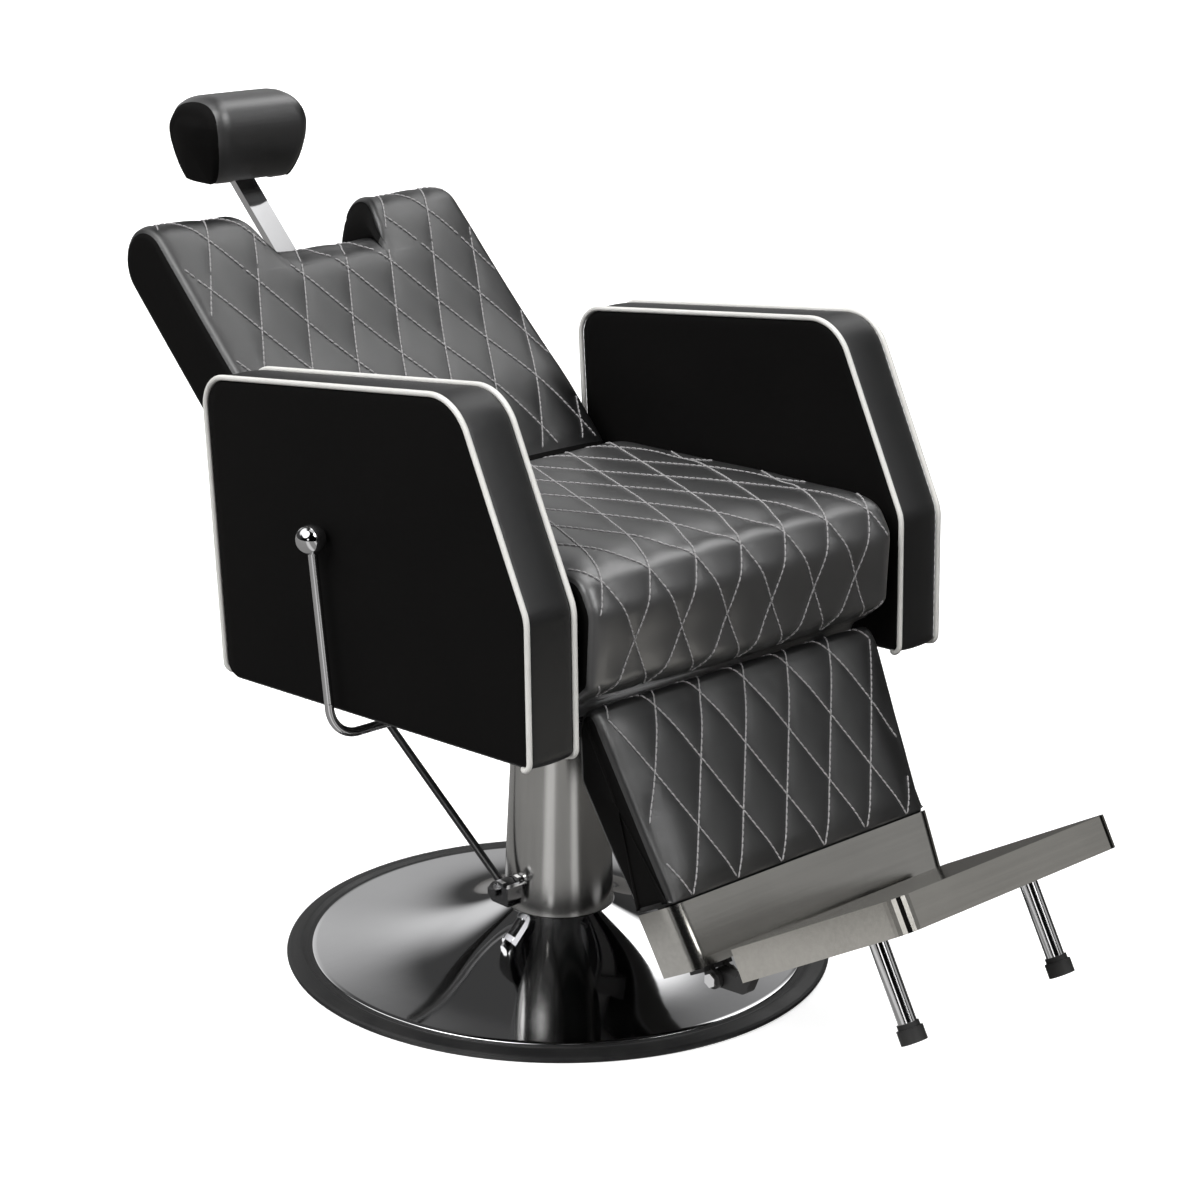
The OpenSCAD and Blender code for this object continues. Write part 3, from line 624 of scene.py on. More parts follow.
def tube(name, pts, radius, mat, body, sides=12, ends=True, squash=None):
    """A round cord along points in metres, with rounded ends."""
    pts = np.asarray(pts, float)
    t = np.gradient(pts, axis=0)
    t /= np.linalg.norm(t, axis=1, keepdims=True)
    up = np.array([1.0, 0, 0]) if abs(t[0][0]) < 0.8 else np.array([0, 0, 1.0])
    u = up - t[0] * (up @ t[0])
    u /= np.linalg.norm(u)
    V, rads, centres = [], [radius] * len(pts), pts
    frames_ = []
    for i in range(len(pts)):
        u = u - t[i] * (u @ t[i])
        u /= np.linalg.norm(u)
        frames_.append((u.copy(), np.cross(t[i], u)))
    rows = []
    if ends:
        for a in (80, 55, 30):
            rows.append((0, -radius * math.sin(math.radians(a)), radius * math.cos(math.radians(a))))
    rows += [(i, 0.0, radius) for i in range(len(pts))]
    if ends:
        for a in (30, 55, 80):
            rows.append((len(pts) - 1, radius * math.sin(math.radians(a)), radius * math.cos(math.radians(a))))
    ang = np.linspace(0, 2 * np.pi, sides, endpoint=False)
    for i, along, r in rows:
        a, b = frames_[i]
        o = pts[i] + t[i] * along
        for w in ang:
            V.append(o + (a * math.cos(w) + b * math.sin(w)) * r)
    F = []
    for q in range(len(rows) - 1):
        for w in range(sides):
            a0, a1 = q * sides + w, q * sides + (w + 1) % sides
            F.append((a0, a1, a1 + sides, a0 + sides))
    F.append(tuple(range(sides - 1, -1, -1)))
    F.append(tuple((len(rows) - 1) * sides + w for w in range(sides)))
    return mesh_object(name, V, F, mat, body)


def form_object(name, form, mats, body, replaces, side_from=None):
    """The form as an object; faces whose arc across is past side_from take the second material."""
    F = form.faces()
    K, J = form.P.shape[:2]
    idx = None
    if side_from is not None:
        a = np.abs((form.A[:-1] + form.A[1:]) / 2).reshape(-1)
        idx = list((a > side_from).astype(int)) + [1] * (2 * J)
    ob = mesh_object(name, form.verts(), F, mats, body, face_mats=idx)
    if replaces:
        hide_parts(*replaces)
    return ob


# ================================================================ seat cushion
QA, SEAT_B = 73.0, 156.0
seat_line = from_start(rounded([(-258, 416, 6), (-262, 432, 16), (-288, 447, 55), (-313, 470, 28), (-316, 560, 42), (-292, 601, 36),
                                (-120, 600, 300), (152, 590, 16), (152, 416, 14)]), (-290, 448))
seat_S = steps(seat_line[1][-1], 600.0, 2.3, 7.0)
seat = simple_form(seat_line, seat_S, SEAT_HW - 3, 15.0, 2.5, 12, 0.0, PLAIN, pull=3.0)
swell = puffed("seat", seat, 8.0, 4.0, 8.0, lambda p: (p[:, 2] < 443) | (p[:, 1] > 146))
swell = np.where(swell == 0, 0.0, swell)
seam_d = np.abs(np.abs(seat.A) - (SEAT_HW - 3 - 3 - 15 + 15 * 1.0))
panel = smooth01((SEAT_HW - 14 - np.abs(seat.X)) / 16) * smooth01((seat.S + 4) / 12) * smooth01((598 - seat.S) / 30)
mm = np.clip(swell, -3, 8) + panel * quilted(seat.X, seat.S, QA, SEAT_B, 0.0, 0.0, 2.3) - 1.6 * np.exp(-(seam_d / 2.6) ** 2)
mm -= 2.2 * np.exp(-((seat.S - 0.0) / 3.2) ** 2) * (np.abs(seat.A) < SEAT_HW)
displaced(seat, mm)
form_object("seat_pad", seat, [M["seat"], M["side"]], "seat", ["seat_cushion", "seat_board"], side_from=SEAT_HW - 3 - 3 - 15 + 15 * 1.0)
K = seat.P.shape[0]
stitches("seat_stitching", quilt_paths(seat, (12, K - 12), QA, SEAT_B, 0.0, 0.0, 2.0, 590.0, lambda x, s: np.abs(x) < SEAT_HW - 19), "seat", M["thread"])

# ================================================================ back cushion, with its two ears and the notch
BACK_A, BACK_B = 71.5, 142.0


def notch_x(s):
    return 78.0 + np.clip(s - 332.0, 0, None) * 32 / 123


def back_rows():
    s_up = np.arange(0.0, 332.0, 2.3)
    n_top = 118
    t = np.linspace(0, 1, n_top + 1)
    down = np.linspace(332.0, 0.0, 44)[1:]
    bottom = np.linspace(0, math.pi, 34)[1:-1]

    def top_path(start, end):
        # straight up from s=start to end, round the top, and down the rear
        l1, l2 = end - start, math.pi * 50
        total = 2 * l1 + l2
        d = t * total
        out = np.zeros((len(t), 2))
        for i, v in enumerate(d):
            if v <= l1:
                out[i] = (-50, start + v)
            elif v <= l1 + l2:
                w = (v - l1) / 50
                out[i] = (-50 * math.cos(w), end + 50 * math.sin(w))
            else:
                out[i] = (50, end - (v - l1 - l2))
        return out, start + d

    def whole(end):
        top, arc = top_path(332.0, end)
        p = np.vstack([np.stack([np.full(len(s_up), -50.0), s_up], 1), top,
                       np.stack([np.full(len(down), 50.0), down], 1),
                       np.stack([50 * np.cos(bottom), -50 * np.sin(bottom)], 1)])
        extra = arc[-1] + 8 * np.arange(1, len(down) + len(bottom) + 1)
        return p, np.concatenate([s_up, arc, extra])
    lo, up = len(s_up), len(s_up) + n_top
    return whole(332.0), whole(400.0), lo, up


(mid_P, mid_S), (ear_P, ear_S), J0, J1 = back_rows()
mid_N, ear_N = profile_normals(mid_P), profile_normals(ear_P)
J = len(mid_P)
# how much a row belongs to the ear's free part: 1 above the notch's bottom line
jj = np.arange(J)
free = np.zeros(J)
free = np.interp(jj, [J0 + 5, J0 + 20, J1 - 20, J1 - 5], [0, 1, 1, 0])
free = smooth01(free)
PULL, EAR_R, SIDE_R, GAP = 2.5, 8.0, 14.0, 1.5
back_hw = BACK_HW - 3
cols = []          # (mix 0 mid..1 ear, x rule, inset side, inset ear edge, ring scale, arc, zone)
for v in np.linspace(0, 1, 31):
    cols.append(("mid", v, 0.0, 0.0, 1.0))
for g in np.linspace(0, 1, 15)[1:-1]:
    cols.append(("cut", g, 0.0, EAR_R, 1.0))
for i in range(0, 9):
    ph = math.pi / 2 * i / 8
    cols.append(("edge", EAR_R * (1 - math.cos(ph)), 0.0, EAR_R * (1 - math.sin(ph)), 1.0))
n_ear = 54
for v in np.linspace(0, 1, n_ear + 1)[1:]:
    cols.append(("ear", v, 0.0, 0.0, 1.0))
for i in range(1, 7):
    ph = math.pi / 2 * i / 6
    cols.append(("side", SIDE_R * math.sin(ph), SIDE_R * (1 - math.cos(ph)), 0.0, 1.0))
for i in range(1, 13):
    g = 0.96 * (1 - (i - 1) / 12)
    cols.append(("cap", 1.5 * (1 - g * g), SIDE_R, 0.0, g))
n_right = len(cols)
Pb = np.zeros((n_right, J, 3))
Xb, Sb, Ab, Zb = (np.zeros((n_right, J)) for _ in range(4))
centre = ear_P.mean(0)
for k, (kind, v, ins, ins_ear, scale) in enumerate(cols):
    ear_ring = ear_P - ear_N * (ins + PULL + (ins_ear * free)[:, None])
    mid_ring = mid_P - mid_N * PULL
    if kind == "mid":
        ring = mid_ring
        x = v * (notch_x(ring[:, 1]) - GAP)
        S, zone = mid_S, 0
    elif kind == "cut":
        edge_ring = ear_P - ear_N * (PULL + (EAR_R * free)[:, None])
        ring = mid_ring * (1 - v) + edge_ring * v
        x = notch_x(ring[:, 1]) - GAP + 2 * GAP * v
        dome = math.sin(math.pi * v ** 0.8) * np.interp(jj, [J0 - 4, J0 + 18, (J0 + J1) / 2, J1 - 18, J1 + 4], [0, 0.8, 1, 0.8, 0])
        x = x - 9.0 * dome - 6.0 * dome ** 0.5 * np.clip(ring[:, 0] / 50, 0, 1)
        S, zone = ear_S, 1
    elif kind == "edge":
        ring = ear_ring
        x = notch_x(ring[:, 1]) + GAP + v
        S, zone = ear_S, 2
    elif kind == "ear":
        ring = ear_ring
        x1 = notch_x(ring[:, 1]) + GAP + EAR_R
        x = x1 + v * (back_hw - PULL - SIDE_R - x1)
        S, zone = ear_S, 2
    elif kind == "side":
        ring = ear_ring
        x = np.full(J, back_hw - PULL - SIDE_R + v)
        S, zone = ear_S, 3
    else:
        ring = centre + scale * (ear_ring - centre)
        x = np.full(J, back_hw - PULL + v)
        S, zone = ear_S, 4
    Pb[k, :, 0], Pb[k, :, 1:] = x, ring
    Xb[k], Sb[k], Zb[k] = x, S, zone
flip = lambda a, sgn=1.0: np.concatenate([sgn * a[:0:-1], a])
Pl = Pb[:0:-1].copy()
Pl[..., 0] *= -1
local = np.concatenate([Pl, Pb])
Xf, Sf, Zf = flip(Xb, -1.0), flip(Sb), flip(Zb)
# fuller towards the sitter's lower back
lumbar = 12.0 * np.exp(-((local[..., 2] - 90) / 85) ** 2) * (1 - 0.75 * (np.abs(Xf) / 262) ** 4) * (local[..., 1] < -30)
local[..., 1] -= lumbar
back = Form(AT_BACK(local), Xf, Sf, Xf.copy())
swell = puffed("back", back, 8.0, 4.0, 7.0, lambda p: np.zeros(len(p), bool))
arc_side = np.where(Zf >= 3, 1.0, 0.0)
on_panel = (Zf == 0) * (1 - free * (1 - smooth01((notch_x(local[..., 2]) - np.abs(Xf)) / 8))) + (Zf == 2) * 1.0 + (Zf == 1) * (1 - free[None, :])
on_panel = on_panel * np.where(Zf == 2, 1 - free * (1 - smooth01((np.abs(Xf) - notch_x(local[..., 2]) - 2) / 11)), 1.0)
on_panel *= smooth01((BACK_HW - 12 - np.abs(Xf)) / 14) * smooth01((Sf - 2) / 20)
end_S = np.where(Zf == 0, 332 + 50 * math.radians(118), 400 + 50 * math.radians(118))
on_panel *= smooth01((end_S - Sf) / 14)
mm = np.clip(swell, -3, 8) + on_panel * quilted(Xf, Sf, BACK_A, BACK_B, 0.0, 318.0, 1.9)
mm -= 1.8 * np.exp(-((Sf - end_S) / 3.0) ** 2) * (Zf != 1) * (Zf < 3)
seam_k = [k for k, c in enumerate(cols) if c[0] == "side"][3]
kk = np.abs(np.arange(local.shape[0]) - (n_right - 1))
near = np.exp(-((kk - seam_k) / 1.1) ** 2)
mm -= 1.6 * near[:, None]
displaced(back, mm)
F = back.faces()
Kb = local.shape[0]
mid_k = n_right - 1
kc = np.arange(Kb - 1)[:, None] + 0.5 - mid_k
is_side = np.abs(kc) > seam_k
first_cut, last_cut = 30.0, 30.0 + 15
jmid = np.arange(J)[None, :] + 0.5
is_cut = (np.abs(kc) > first_cut) & (np.abs(kc) < last_cut) & (jmid > J0 + 12) & (jmid < J1)
is_rear = (jmid > J0 + 0.62 * (J1 - J0)) & (jmid > 0)
fm = list((is_side | is_cut | is_rear).astype(int).reshape(-1)) + [1] * (2 * J)
ob = mesh_object("back_pad", back.verts(), F, [M["quilt"], M["side"]], "back", face_mats=fm)
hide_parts("back_cushion")
# quilting on the middle and on each ear, cut at the notch
edge_k = [k for k, c in enumerate(cols) if c[0] == "edge"][0]
side_k0 = [k for k, c in enumerate(cols) if c[0] == "side"][2]
ks_mid = (mid_k - 30, mid_k + 31)
ks_right = (mid_k + edge_k, mid_k + side_k0)
ks_left = (mid_k - side_k0 + 1, mid_k - edge_k + 1)
mid_top, ear_top = 332 + 50 * math.radians(112), 400 + 50 * math.radians(112)
paths = []
ks_all = (mid_k - side_k0 + 1, mid_k + side_k0)
JOIN = 339.0
paths += quilt_paths(back, ks_all, BACK_A, BACK_B, 0.0, 318.0, 6.0, JOIN, lambda x, s: np.abs(x) < BACK_HW - 17)
paths += quilt_paths(back, ks_mid, BACK_A, BACK_B, 0.0, 318.0, JOIN, mid_top, lambda x, s: np.abs(x) < 78 - GAP + np.clip(np.minimum(s, 382) - 332, 0, None) * 0.26 - 1.0)
for ks, sg in ((ks_right, 1), (ks_left, -1)):
    paths += quilt_paths(back, ks, BACK_A, BACK_B, 0.0, 318.0, JOIN, ear_top,
                         lambda x, s: (sg * x < BACK_HW - 17) & (sg * x > 78 + GAP + (np.minimum(s, 450) - 332) * 0.26 + np.clip((s - JOIN) / 3, 0, 8)))
stitches("back_stitching", paths, "back", M["thread"])

# rear panel of the back
rear_line = from_start(rounded([(46.0, 34, 3), (46.0, 318, 3), (52.0, 318, 3), (52.0, 34, 3)]), (46.0, 170))


def slab(name, x_hw, s0, s1, n0, n1, r, crown, to_world, mats, body, repl, step=5.0, puckers=True):
    """A thin padded panel: rounded edge, crowned face towards +n."""
    us = np.linspace(-1, 1, int(2 * x_hw / step) + 1)
    vs = np.linspace(-1, 1, int((s1 - s0) / step) + 1)
    U, W = np.meshgrid(us, vs, indexing="ij")
    X = U * x_hw
    Sx = (s0 + s1) / 2 + W * (s1 - s0) / 2
    ex, es = x_hw - np.abs(X), (s1 - s0) / 2 - np.abs(Sx - (s0 + s1) / 2)
    d = np.minimum(ex, es)
    edge = np.sqrt(np.clip(1 - (1 - np.clip(d / r, 0, 1)) ** 2, 0, 1))
    face = n0 + (n1 - n0) * edge + crown * (1 - U ** 4) * (1 - W ** 4)
    if puckers:
        face += 0.5 * np.sin((X + Sx) / 5.0) * np.exp(-d / 9.0) * edge
    face -= 1.2 * np.exp(-((d - 11) / 2.2) ** 2)
    top = np.stack([X, face, Sx], 2)
    bot = np.stack([X, np.full_like(X, n0 - 2.0), Sx], 2)
    K_, J_ = X.shape
    V = np.vstack([to_world(top).reshape(-1, 3), to_world(bot).reshape(-1, 3)])
    idx = np.arange(K_ * J_).reshape(K_, J_)
    F = []
    for k in range(K_ - 1):
        for j in range(J_ - 1):
            a, b, c, e = idx[k, j], idx[k + 1, j], idx[k + 1, j + 1], idx[k, j + 1]
            F.append((a, e, c, b))
            o = K_ * J_
            F.append((a + o, b + o, c + o, e + o))
    rim = [idx[k, 0] for k in range(K_)] + [idx[-1, j] for j in range(1, J_)] + [idx[k, -1] for k in range(K_ - 2, -1, -1)] + [idx[0, j] for j in range(J_ - 2, 0, -1)]
    for i in range(len(rim)):
        a, b = rim[i], rim[(i + 1) % len(rim)]
        F.append((a, b, b + K_ * J_, a + K_ * J_))
    ob = mesh_object(name, V, [tuple(map(int, f)) for f in F], mats, body)
    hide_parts(*repl)
    return top


slab("back_panel", 219, 31, 321, 47, 52, 5, 2.0, AT_BACK, M["side"], "back", ["back_cover"])

# ================================================================ leg rest cushion
LEG_B = 142.0
leg_len, band_h = 282.0, 75.0
leg_line = from_start(rounded([(-16, 8, 30), (-13, 19, 9), (-7, 26, 8), (3, 27.5, 8), (13, 24, 10), (24, 12, 16), (56, -44, 26), (54, -120, 60), (49, -209, 4), (-16, -209, 3)]), (-16, -205))
leg_S = steps(leg_line[1][-1], 262.0, 2.3, 5.0)
leg_w = lambda ring: (238 + 25 * np.clip(ring[:, 1], -282, 0) / 282) / 238
leg = simple_form(leg_line, leg_S, 238 - 2, 12.0, 2.5, 10, 1.0, AT_LEG, width=leg_w, pull=2.0)
leg_local = leg.P.copy()
swell = puffed("leg", leg, 7.0, 4.0, 6.0, lambda p: (p[:, 1] * 0 + (p[:, 2] < 242)).astype(bool))
panel = smooth01((238 - 14 - np.abs(leg.A)) / 14) * smooth01((leg.S + 2) / 6) * smooth01((262 - leg.S) / 14)
seam_d = np.abs(np.abs(leg.A) - (238 - 2 - 2 - 12 + 12 * 1.0))
mm = np.clip(swell, -2, 6) + panel * quilted(leg.X, leg.S, 72.5, LEG_B, 0.0, 71.0, 1.4) - 1.5 * np.exp(-(seam_d / 2.6) ** 2)
displaced(leg, mm)
form_object("leg_rest_pad", leg, [M["quilt"], M["side"]], "leg", ["leg_cushion"], side_from=238 - 2 - 2 - 12 + 12 * 1.0)
Kl = leg.P.shape[0]
stitches("leg_rest_stitching", quilt_paths(leg, (10, Kl - 10), 72.5, LEG_B, 0.0, 71.0, 1.0, 256.0,
         lambda x, s: np.abs(x) < (213 + 25 * np.clip(s, 0, 207) / 282 + 6.6) - 19), "leg", M["thread"])

# ================================================================ head rest
head_pts = chaikin([(-39, -7.5), (-12, -7.5), (21, -7), (38, -2), (56, 37), (59, 69), (33, 103), (-24, 110), (-62, 92), (-68, 43)], 3)[::-1] + np.array(Q)
head_line = from_start(head_pts, (Q[0] - 8, Q[1] - 7.5))
head_S = np.linspace(0, head_line[1][-1], 200)[:-1]


def head_form(pull, r, crown=6.0, rings=10):
    """A drum with domed ends that narrows to its flat foot."""
    prof = sample(head_line, head_S)
    N = profile_normals(prof)
    x, ins, f, A = cross_section(HEAD_HW - pull, r, 2.5, rings, crown)
    c = prof.mean(0)
    up = smooth01((prof[:, 1] - Q[1] + 8) / 60)[:, None]
    P = np.zeros((len(x), len(prof), 3))
    for k in range(len(x)):
        off = N * (ins[k] * (0.4 + 0.6 * up) + pull)
        off[:, 1] = np.where(off[:, 1] < 0, off[:, 1] * up[:, 0], off[:, 1])
        ring = c + f[k] * (prof - off - c)
        P[k, :, 1:] = ring
        P[k, :, 0] = x[k] * np.interp(ring[:, 1] - Q[1], [-9, 20, 46, 68, 90, 110], [0.79, 0.9, 0.975, 1.0, 0.975, 0.9])
    return Form(PLAIN(P), P[:, :, 0].copy(), np.repeat(head_S[None], len(x), 0), np.repeat(A[:, None], len(prof), 1))


head = head_form(2.0, 24.0)
swell = puffed("head", head, 4.5, 4.0, 6.0, lambda p: p[:, 2] < Q[1] - 1)
seam_a = HEAD_HW - 2 - 24 + 24 * 0.85
seam_d = np.abs(np.abs(head.A) - seam_a)
mm = np.clip(swell, -2, 6) - 1.3 * np.exp(-(seam_d / 2.2) ** 2)
displaced(head, mm)
# socket in the foot, where the bracket and the post's end turn
w = head.P / MM
socket = (np.abs(w[..., 0]) < 31) & (w[..., 1] > Q[0] - 33) & (w[..., 1] < Q[0] + 15) & (w[..., 2] < Q[1] + 10.5)
w[..., 2] = np.where(socket, Q[1] + 10.5, w[..., 2])
head.P = w * MM
form_object("head_pad", head, [M["head"], M["side"]], "head", ["headrest_pad"], side_from=seam_a)

# ================================================================ arms
arm_pts = rounded([(254, 739, 38), (-190, 794, 60), (-304, 571, 45), (-310, 402, 10), (223, 377, 20)], 14)[::-1]
arm_line = from_start(arm_pts, (-40, 390))
arm_S = np.linspace(0, arm_line[1][-1], 430)[:-1]
for side, name in ((-1, "right"), (1, "left")):
    f = simple_form(arm_line, arm_S, ARM_T / 2, 6.0, 3.0, 22, 2.2, PLAIN, x0=side * (ARM_IN + ARM_T / 2))
    near = np.abs(np.abs(f.A) - (35 - 6 + 6 * math.pi / 4))
    mm = -1.8 * np.exp(-(near / 3.0) ** 2)
    cross = np.clip(1 - (np.abs(f.A) / 30) ** 2, 0, 1)
    mm += 1.8 * cross
    mm += 0.22 * np.sin(f.S * 2 * math.pi / 11.0 + 1.7 * np.sin(f.S / 60)) * np.exp(-near / 7.0)
    displaced(f, mm)
    form_object("arm_pad_" + name, f, [M["band"], M["side"]], "seat", ["arm_" + name], side_from=35 - 6 + 6 * math.pi / 4)
    prof = sample(arm_line, arm_S)
    pn = profile_normals(prof)
    total = arm_line[1][-1]
    # the cord runs from the lower rear corner over the top to the lower front corner
    start = float(arm_S[np.argmin(np.abs(prof[:, 0] + 300) + np.abs(prof[:, 1] - 404))])
    end = float(arm_S[np.argmin(np.abs(prof[:, 0] - 222) + np.abs(prof[:, 1] - 390))])
    ss = np.arange(start - 6, end + 8, 2.5)
    pp = sample(arm_line, ss)
    nn = np.stack([np.interp(ss, arm_S, pn[:, 0]), np.interp(ss, arm_S, pn[:, 1])], 1)
    for where, x in (("inner", ARM_IN + 0.6), ("outer", ARM_IN + ARM_T - 0.6)):
        c = pp + nn * 0.4
        # both ends curl under the panel
        tuck = np.clip(1 - np.minimum(ss - ss[0], ss[-1] - ss) / 9.0, 0, 1) ** 2 * 5.0
        xx = np.full(len(ss), side * x) + side * (1 if where == "inner" else -1) * tuck
        tube(f"piping_{name}_{where}", np.stack([xx, c[:, 0], c[:, 1]], 1) * MM, 3.3 * MM, M["piping"], "seat")

# ================================================================ base cover, turned
def lathe(name, rz, mat, body, n=192):
    rz = np.asarray(rz, float)
    a = np.linspace(0, 2 * np.pi, n, endpoint=False)
    V = np.stack([np.outer(rz[:, 0], np.cos(a)), np.outer(rz[:, 0], np.sin(a)), np.repeat(rz[:, 1:], n, 1)], 2).reshape(-1, 3) * MM
    k = len(rz)
    F = []
    for i in range(k):
        i2 = (i + 1) % k
        for j in range(n):
            j2 = (j + 1) % n
            F.append((i * n + j, i * n + j2, i2 * n + j2, i2 * n + j))
    return mesh_object(name, V, F, mat, body)


def cover_z(t):
    return 10.2 + 24 * t + 31.8 * t ** 3.2


cover_t = np.concatenate([np.linspace(0, 0.5, 26), np.linspace(0.5, 1, 61)[1:]])
outer = [(307 - (307 - 68) * t, cover_z(t)) for t in cover_t]
outer[0:0] = [(308.2, 8.2), (308.6, 9.0), (308.2, 9.8)]
inner = [(r - 0.4 if t_ > 0.9 else r, z - 2.0) for (r, z), t_ in zip(outer[:2:-1], cover_t[::-1])]
base_cover = lathe("chrome_cover", outer + inner, M["cover"], "base")
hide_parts("base_cover")

# ================================================================ CAD nodes: better materials
USE = {
    "steel_black": "black", "chrome": "chrome", "brushed": "brushed", "leather_black": "side", "plywood": "wood", "rubber_black": "rubber",
}
NODE_MAT = {
    "base_plate": "black", "rim_ring": "ring", "base_cover": "cover", "pump_body": "black", "pump_bolts": "chrome", "gland_nut": "brushed",
    "column_sleeve": "sleeve", "sleeve_collar": "black", "lever_clevis": "chrome", "lever_pin": "chrome", "pump_lever": "black", "foot_pad": "rubber",
    "lift_ram": "chrome", "ram_seal": "rubber", "ram_flange": "black", "upper_sleeve": "sleeve", "thrust_bearing": "brushed", "swivel_plate": "black",
    "seat_frame": "black", "seat_board": "wood", "seat_cushion": "quilt", "arm_board_right": "wood", "arm_board_left": "wood", "arm_right": "side",
    "arm_left": "side", "arm_brackets": "black", "arm_bolts": "chrome", "hinge_plates": "black", "recline_pins": "chrome", "leg_hinge_lugs": "black",
    "leg_hinge_pins": "chrome", "lever_bearing": "black", "lock_caliper": "brushed", "hand_lever": "rod", "lever_ball": "chrome", "lock_cam": "black",
    "link_bars": "black", "back_frame": "black", "back_hinge_arms": "black", "hinge_bolts": "chrome", "link_cranks": "black", "back_cushion": "quilt",
    "back_cover": "side", "post_guide": "black", "headrest_post": "chrome", "headrest_bracket": "black", "headrest_pin": "chrome", "headrest_pad": "head",
    "leg_board": "black", "leg_hinge_arms": "black", "leg_horns": "black", "leg_cushion": "quilt", "leg_band": "band_steel", "footrest_bracket": "black",
    "footrest_pin": "chrome", "footrest_arms": "black", "footrest_platform": "tray", "footrest_legs": "rod", "footrest_tips": "rubber",
}
for name, ob in NODES.items():
    m = M[NODE_MAT[name]]
    if not ob.material_slots:
        ob.data.materials.append(m)
    for sl in ob.material_slots:
        sl.material = m

# ================================================================ floor, light, camera
floor_mat = Mat("pale_floor")
seen = floor_mat.t.nodes.new("ShaderNodeLightPath").outputs["Is Camera Ray"]
floor_mat.link(floor_mat.mix(seen, (0.055, 0.052, 0.048), (0.80, 0.80, 0.80)), floor_mat.b.inputs["Base Color"])
floor_mat.set(Roughness=0.85)
floor_mat.b.inputs["Specular IOR Level"].default_value = 0.2
floor_mat.b.inputs["Emission Color"].default_value = (1, 1, 1, 1)
# the surfaces of the chair see a dim floor, a little lighter on its right-hand side
towards = floor_mat.t.nodes.new("ShaderNodeVectorMath")
towards.operation = "NORMALIZE"
floor_mat.t.links.new(floor_mat.t.nodes.new("ShaderNodeNewGeometry").outputs["Position"], towards.inputs[0])
to_side = floor_mat.t.nodes.new("ShaderNodeVectorMath")
to_side.operation = "DOT_PRODUCT"
to_side.inputs[1].default_value = (-0.94, 0.34, 0)
floor_mat.t.links.new(towards.outputs[0], to_side.inputs[0])
dim = floor_mat.range(to_side.outputs["Value"], 0.022, 0.19, -0.30, -0.20)
for azimuth, inner, outer, level in ((-12, 3, 9, 0.34), (-64, 5, 14, 0.42)):
    wedge = floor_mat.t.nodes.new("ShaderNodeVectorMath")
    wedge.operation = "DOT_PRODUCT"
    wedge.inputs[1].default_value = (math.sin(math.radians(azimuth)), -math.cos(math.radians(azimuth)), 0)
    floor_mat.t.links.new(towards.outputs[0], wedge.inputs[0])
    dim = floor_mat.math("ADD", dim, floor_mat.range(wedge.outputs["Value"], 0.0, level, math.cos(math.radians(outer)), math.cos(math.radians(inner))))
unseen = floor_mat.math("SUBTRACT", 1.0, seen)
floor_mat.link(floor_mat.math("ADD", floor_mat.math("MULTIPLY", seen, 0.66), floor_mat.math("MULTIPLY", unseen, dim)), floor_mat.b.inputs["Emission Strength"])
V = [(-30, -30, 0), (30, -30, 0), (30, 30, 0), (-30, 30, 0)]
floor = mesh_object("studio_floor", V, [(0, 1, 2, 3)], floor_mat.m, smooth=False)

world = bpy.data.worlds.new("studio")
scene.world = world
world.use_nodes = True
wt = world.node_tree
wt.nodes.clear()
wo = wt.nodes.new("ShaderNodeOutputWorld")
bg = wt.nodes.new("ShaderNodeBackground")
w_dir = wt.nodes.new("ShaderNodeTexCoord").outputs["Generated"]
w_sep = wt.nodes.new("ShaderNodeSeparateXYZ")
wt.links.new(w_dir, w_sep.inputs[0])
W_Z = w_sep.outputs["Z"]


def w_math(op, a, b):
    n = wt.nodes.new("ShaderNodeMath")
    n.operation = op
    for i, v in enumerate((a, b)):
        if isinstance(v, (int, float)):
            n.inputs[i].default_value = v
        else:
            wt.links.new(v, n.inputs[i])
    return n.outputs[0]


def w_step(v, lo, hi, a=0.0, b=1.0):
    """Goes smoothly from a at lo to b at hi."""
    n = wt.nodes.new("ShaderNodeMapRange")
    n.interpolation_type = "SMOOTHSTEP"
    n.inputs["From Min"].default_value, n.inputs["From Max"].default_value = lo, hi
    n.inputs["To Min"].default_value, n.inputs["To Max"].default_value = a, b
    wt.links.new(v, n.inputs["Value"])
    return n.outputs[0]


def w_dot(az, el):
    """Cosine to a direction: az in degrees from the chair's front towards its left side, el up."""
    n = wt.nodes.new("ShaderNodeVectorMath")
    n.operation = "DOT_PRODUCT"
    a, e = math.radians(az), math.radians(el)
    n.inputs[1].default_value = (math.sin(a) * math.cos(e), -math.cos(a) * math.cos(e), math.sin(e))
    wt.links.new(w_dir, n.inputs[0])
    return n.outputs["Value"]


def w_lobe(az, el, inner, outer, level):
    return w_step(w_dot(az, el), math.cos(math.radians(outer)), math.cos(math.radians(inner)), 0.0, level)


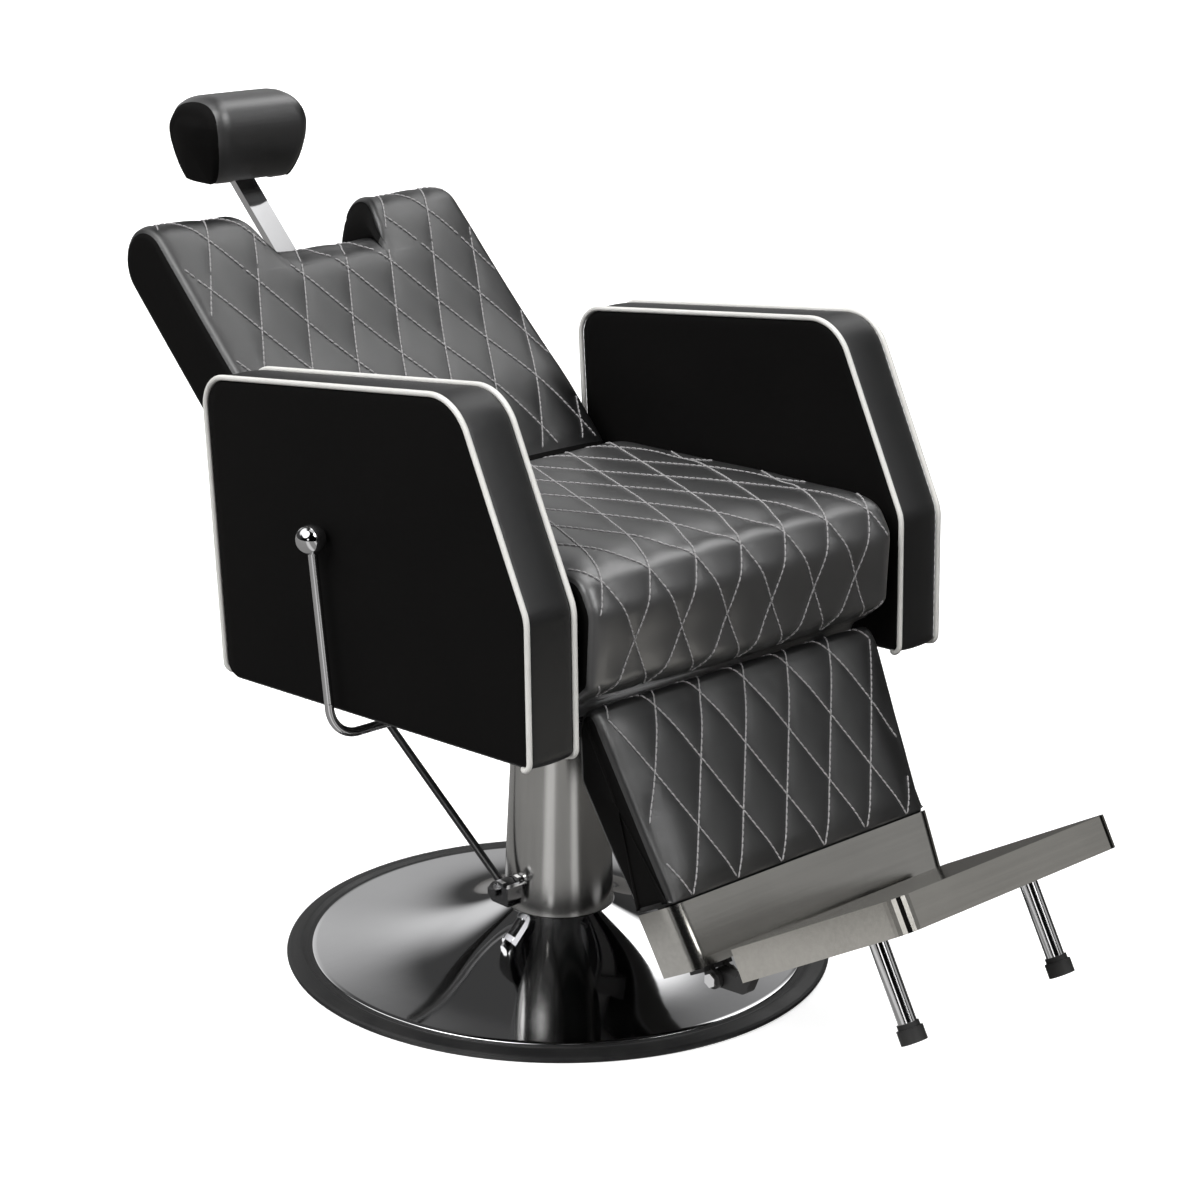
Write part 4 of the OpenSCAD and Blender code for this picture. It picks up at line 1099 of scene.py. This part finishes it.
# softboxes round the chair: azimuth, elevation, inner and outer half angle, level
light = w_step(w_dot(178, 20), 0.1, 0.8, 0.0, 0.055)
for softbox in (
    (-90, 45, 6, 28, 6.6),      # key, from the chair's right
    (10, 42, 5, 18, 8.6),       # front
    (90, 68, 5, 22, 2.9),       # left side, seen in the back pad
    (108, 42, 5, 19, 2.5),
    (44, 16, 5, 18, 0.42),      # dim wall seen in the steel band
    (136, 20, 5, 18, 0.44),     # low rear wall, seen in the cover and the seat
    (165, 20, 5, 20, 0.74),
    (-140, 45, 6, 28, 1.7),
    (-60, 12, 2, 8, 1.6),       # narrow strip that draws the bends of the steel
):
    lobe = w_lobe(*softbox)
    light = w_math("ADD", light, lobe)
w_seen = wt.nodes.new("ShaderNodeLightPath").outputs["Is Camera Ray"]
wt.links.new(w_math("MAXIMUM", light, w_seen), bg.inputs["Strength"])
bg.inputs["Color"].default_value = (1, 1, 1, 1)
wt.links.new(bg.outputs[0], wo.inputs["Surface"])


def area(name, loc, target, size, energy, shape="RECTANGLE", color=(1, 1, 1)):
    d = bpy.data.lights.new(name, "AREA")
    d.shape = shape
    d.size, d.size_y = size
    d.energy = energy
    d.color = color
    o = bpy.data.objects.new(name, d)
    o.location = loc
    o.rotation_euler = (Vector(target) - Vector(loc)).to_track_quat("-Z", "Y").to_euler()
    scene.collection.objects.link(o)
    return o


area("overhead_softbox", (0.2, -0.6, 3.6), (0, 0, 0.5), (2.4, 2.0), 10)

cam = bpy.data.cameras.new("camera")
cam.sensor_width = 36.0
cam.lens = 2965.8 / 1200 * 36.0
cam.clip_end = 100
cam_ob = bpy.data.objects.new("camera", cam)
scene.collection.objects.link(cam_ob)
az, el_, roll = math.radians(-44.24), math.radians(17.20), math.radians(0.72)
back_v = np.array([math.sin(az) * math.cos(el_), -math.cos(az) * math.cos(el_), math.sin(el_)])
right = np.cross(-back_v, [0, 0, 1]); right /= np.linalg.norm(right)
up = np.cross(right, -back_v)
r2 = right * math.cos(roll) + up * math.sin(roll)
u2 = -right * math.sin(roll) + up * math.cos(roll)
m = Matrix.Identity(4)
for i in range(3):
    m[i][0], m[i][1], m[i][2] = r2[i], u2[i], back_v[i]
m[0][3], m[1][3], m[2][3] = -2.3672, -2.4984, 1.5200
cam_ob.matrix_world = m
scene.camera = cam_ob
scene.view_settings.view_transform = "Standard"
scene.view_settings.look = "None"
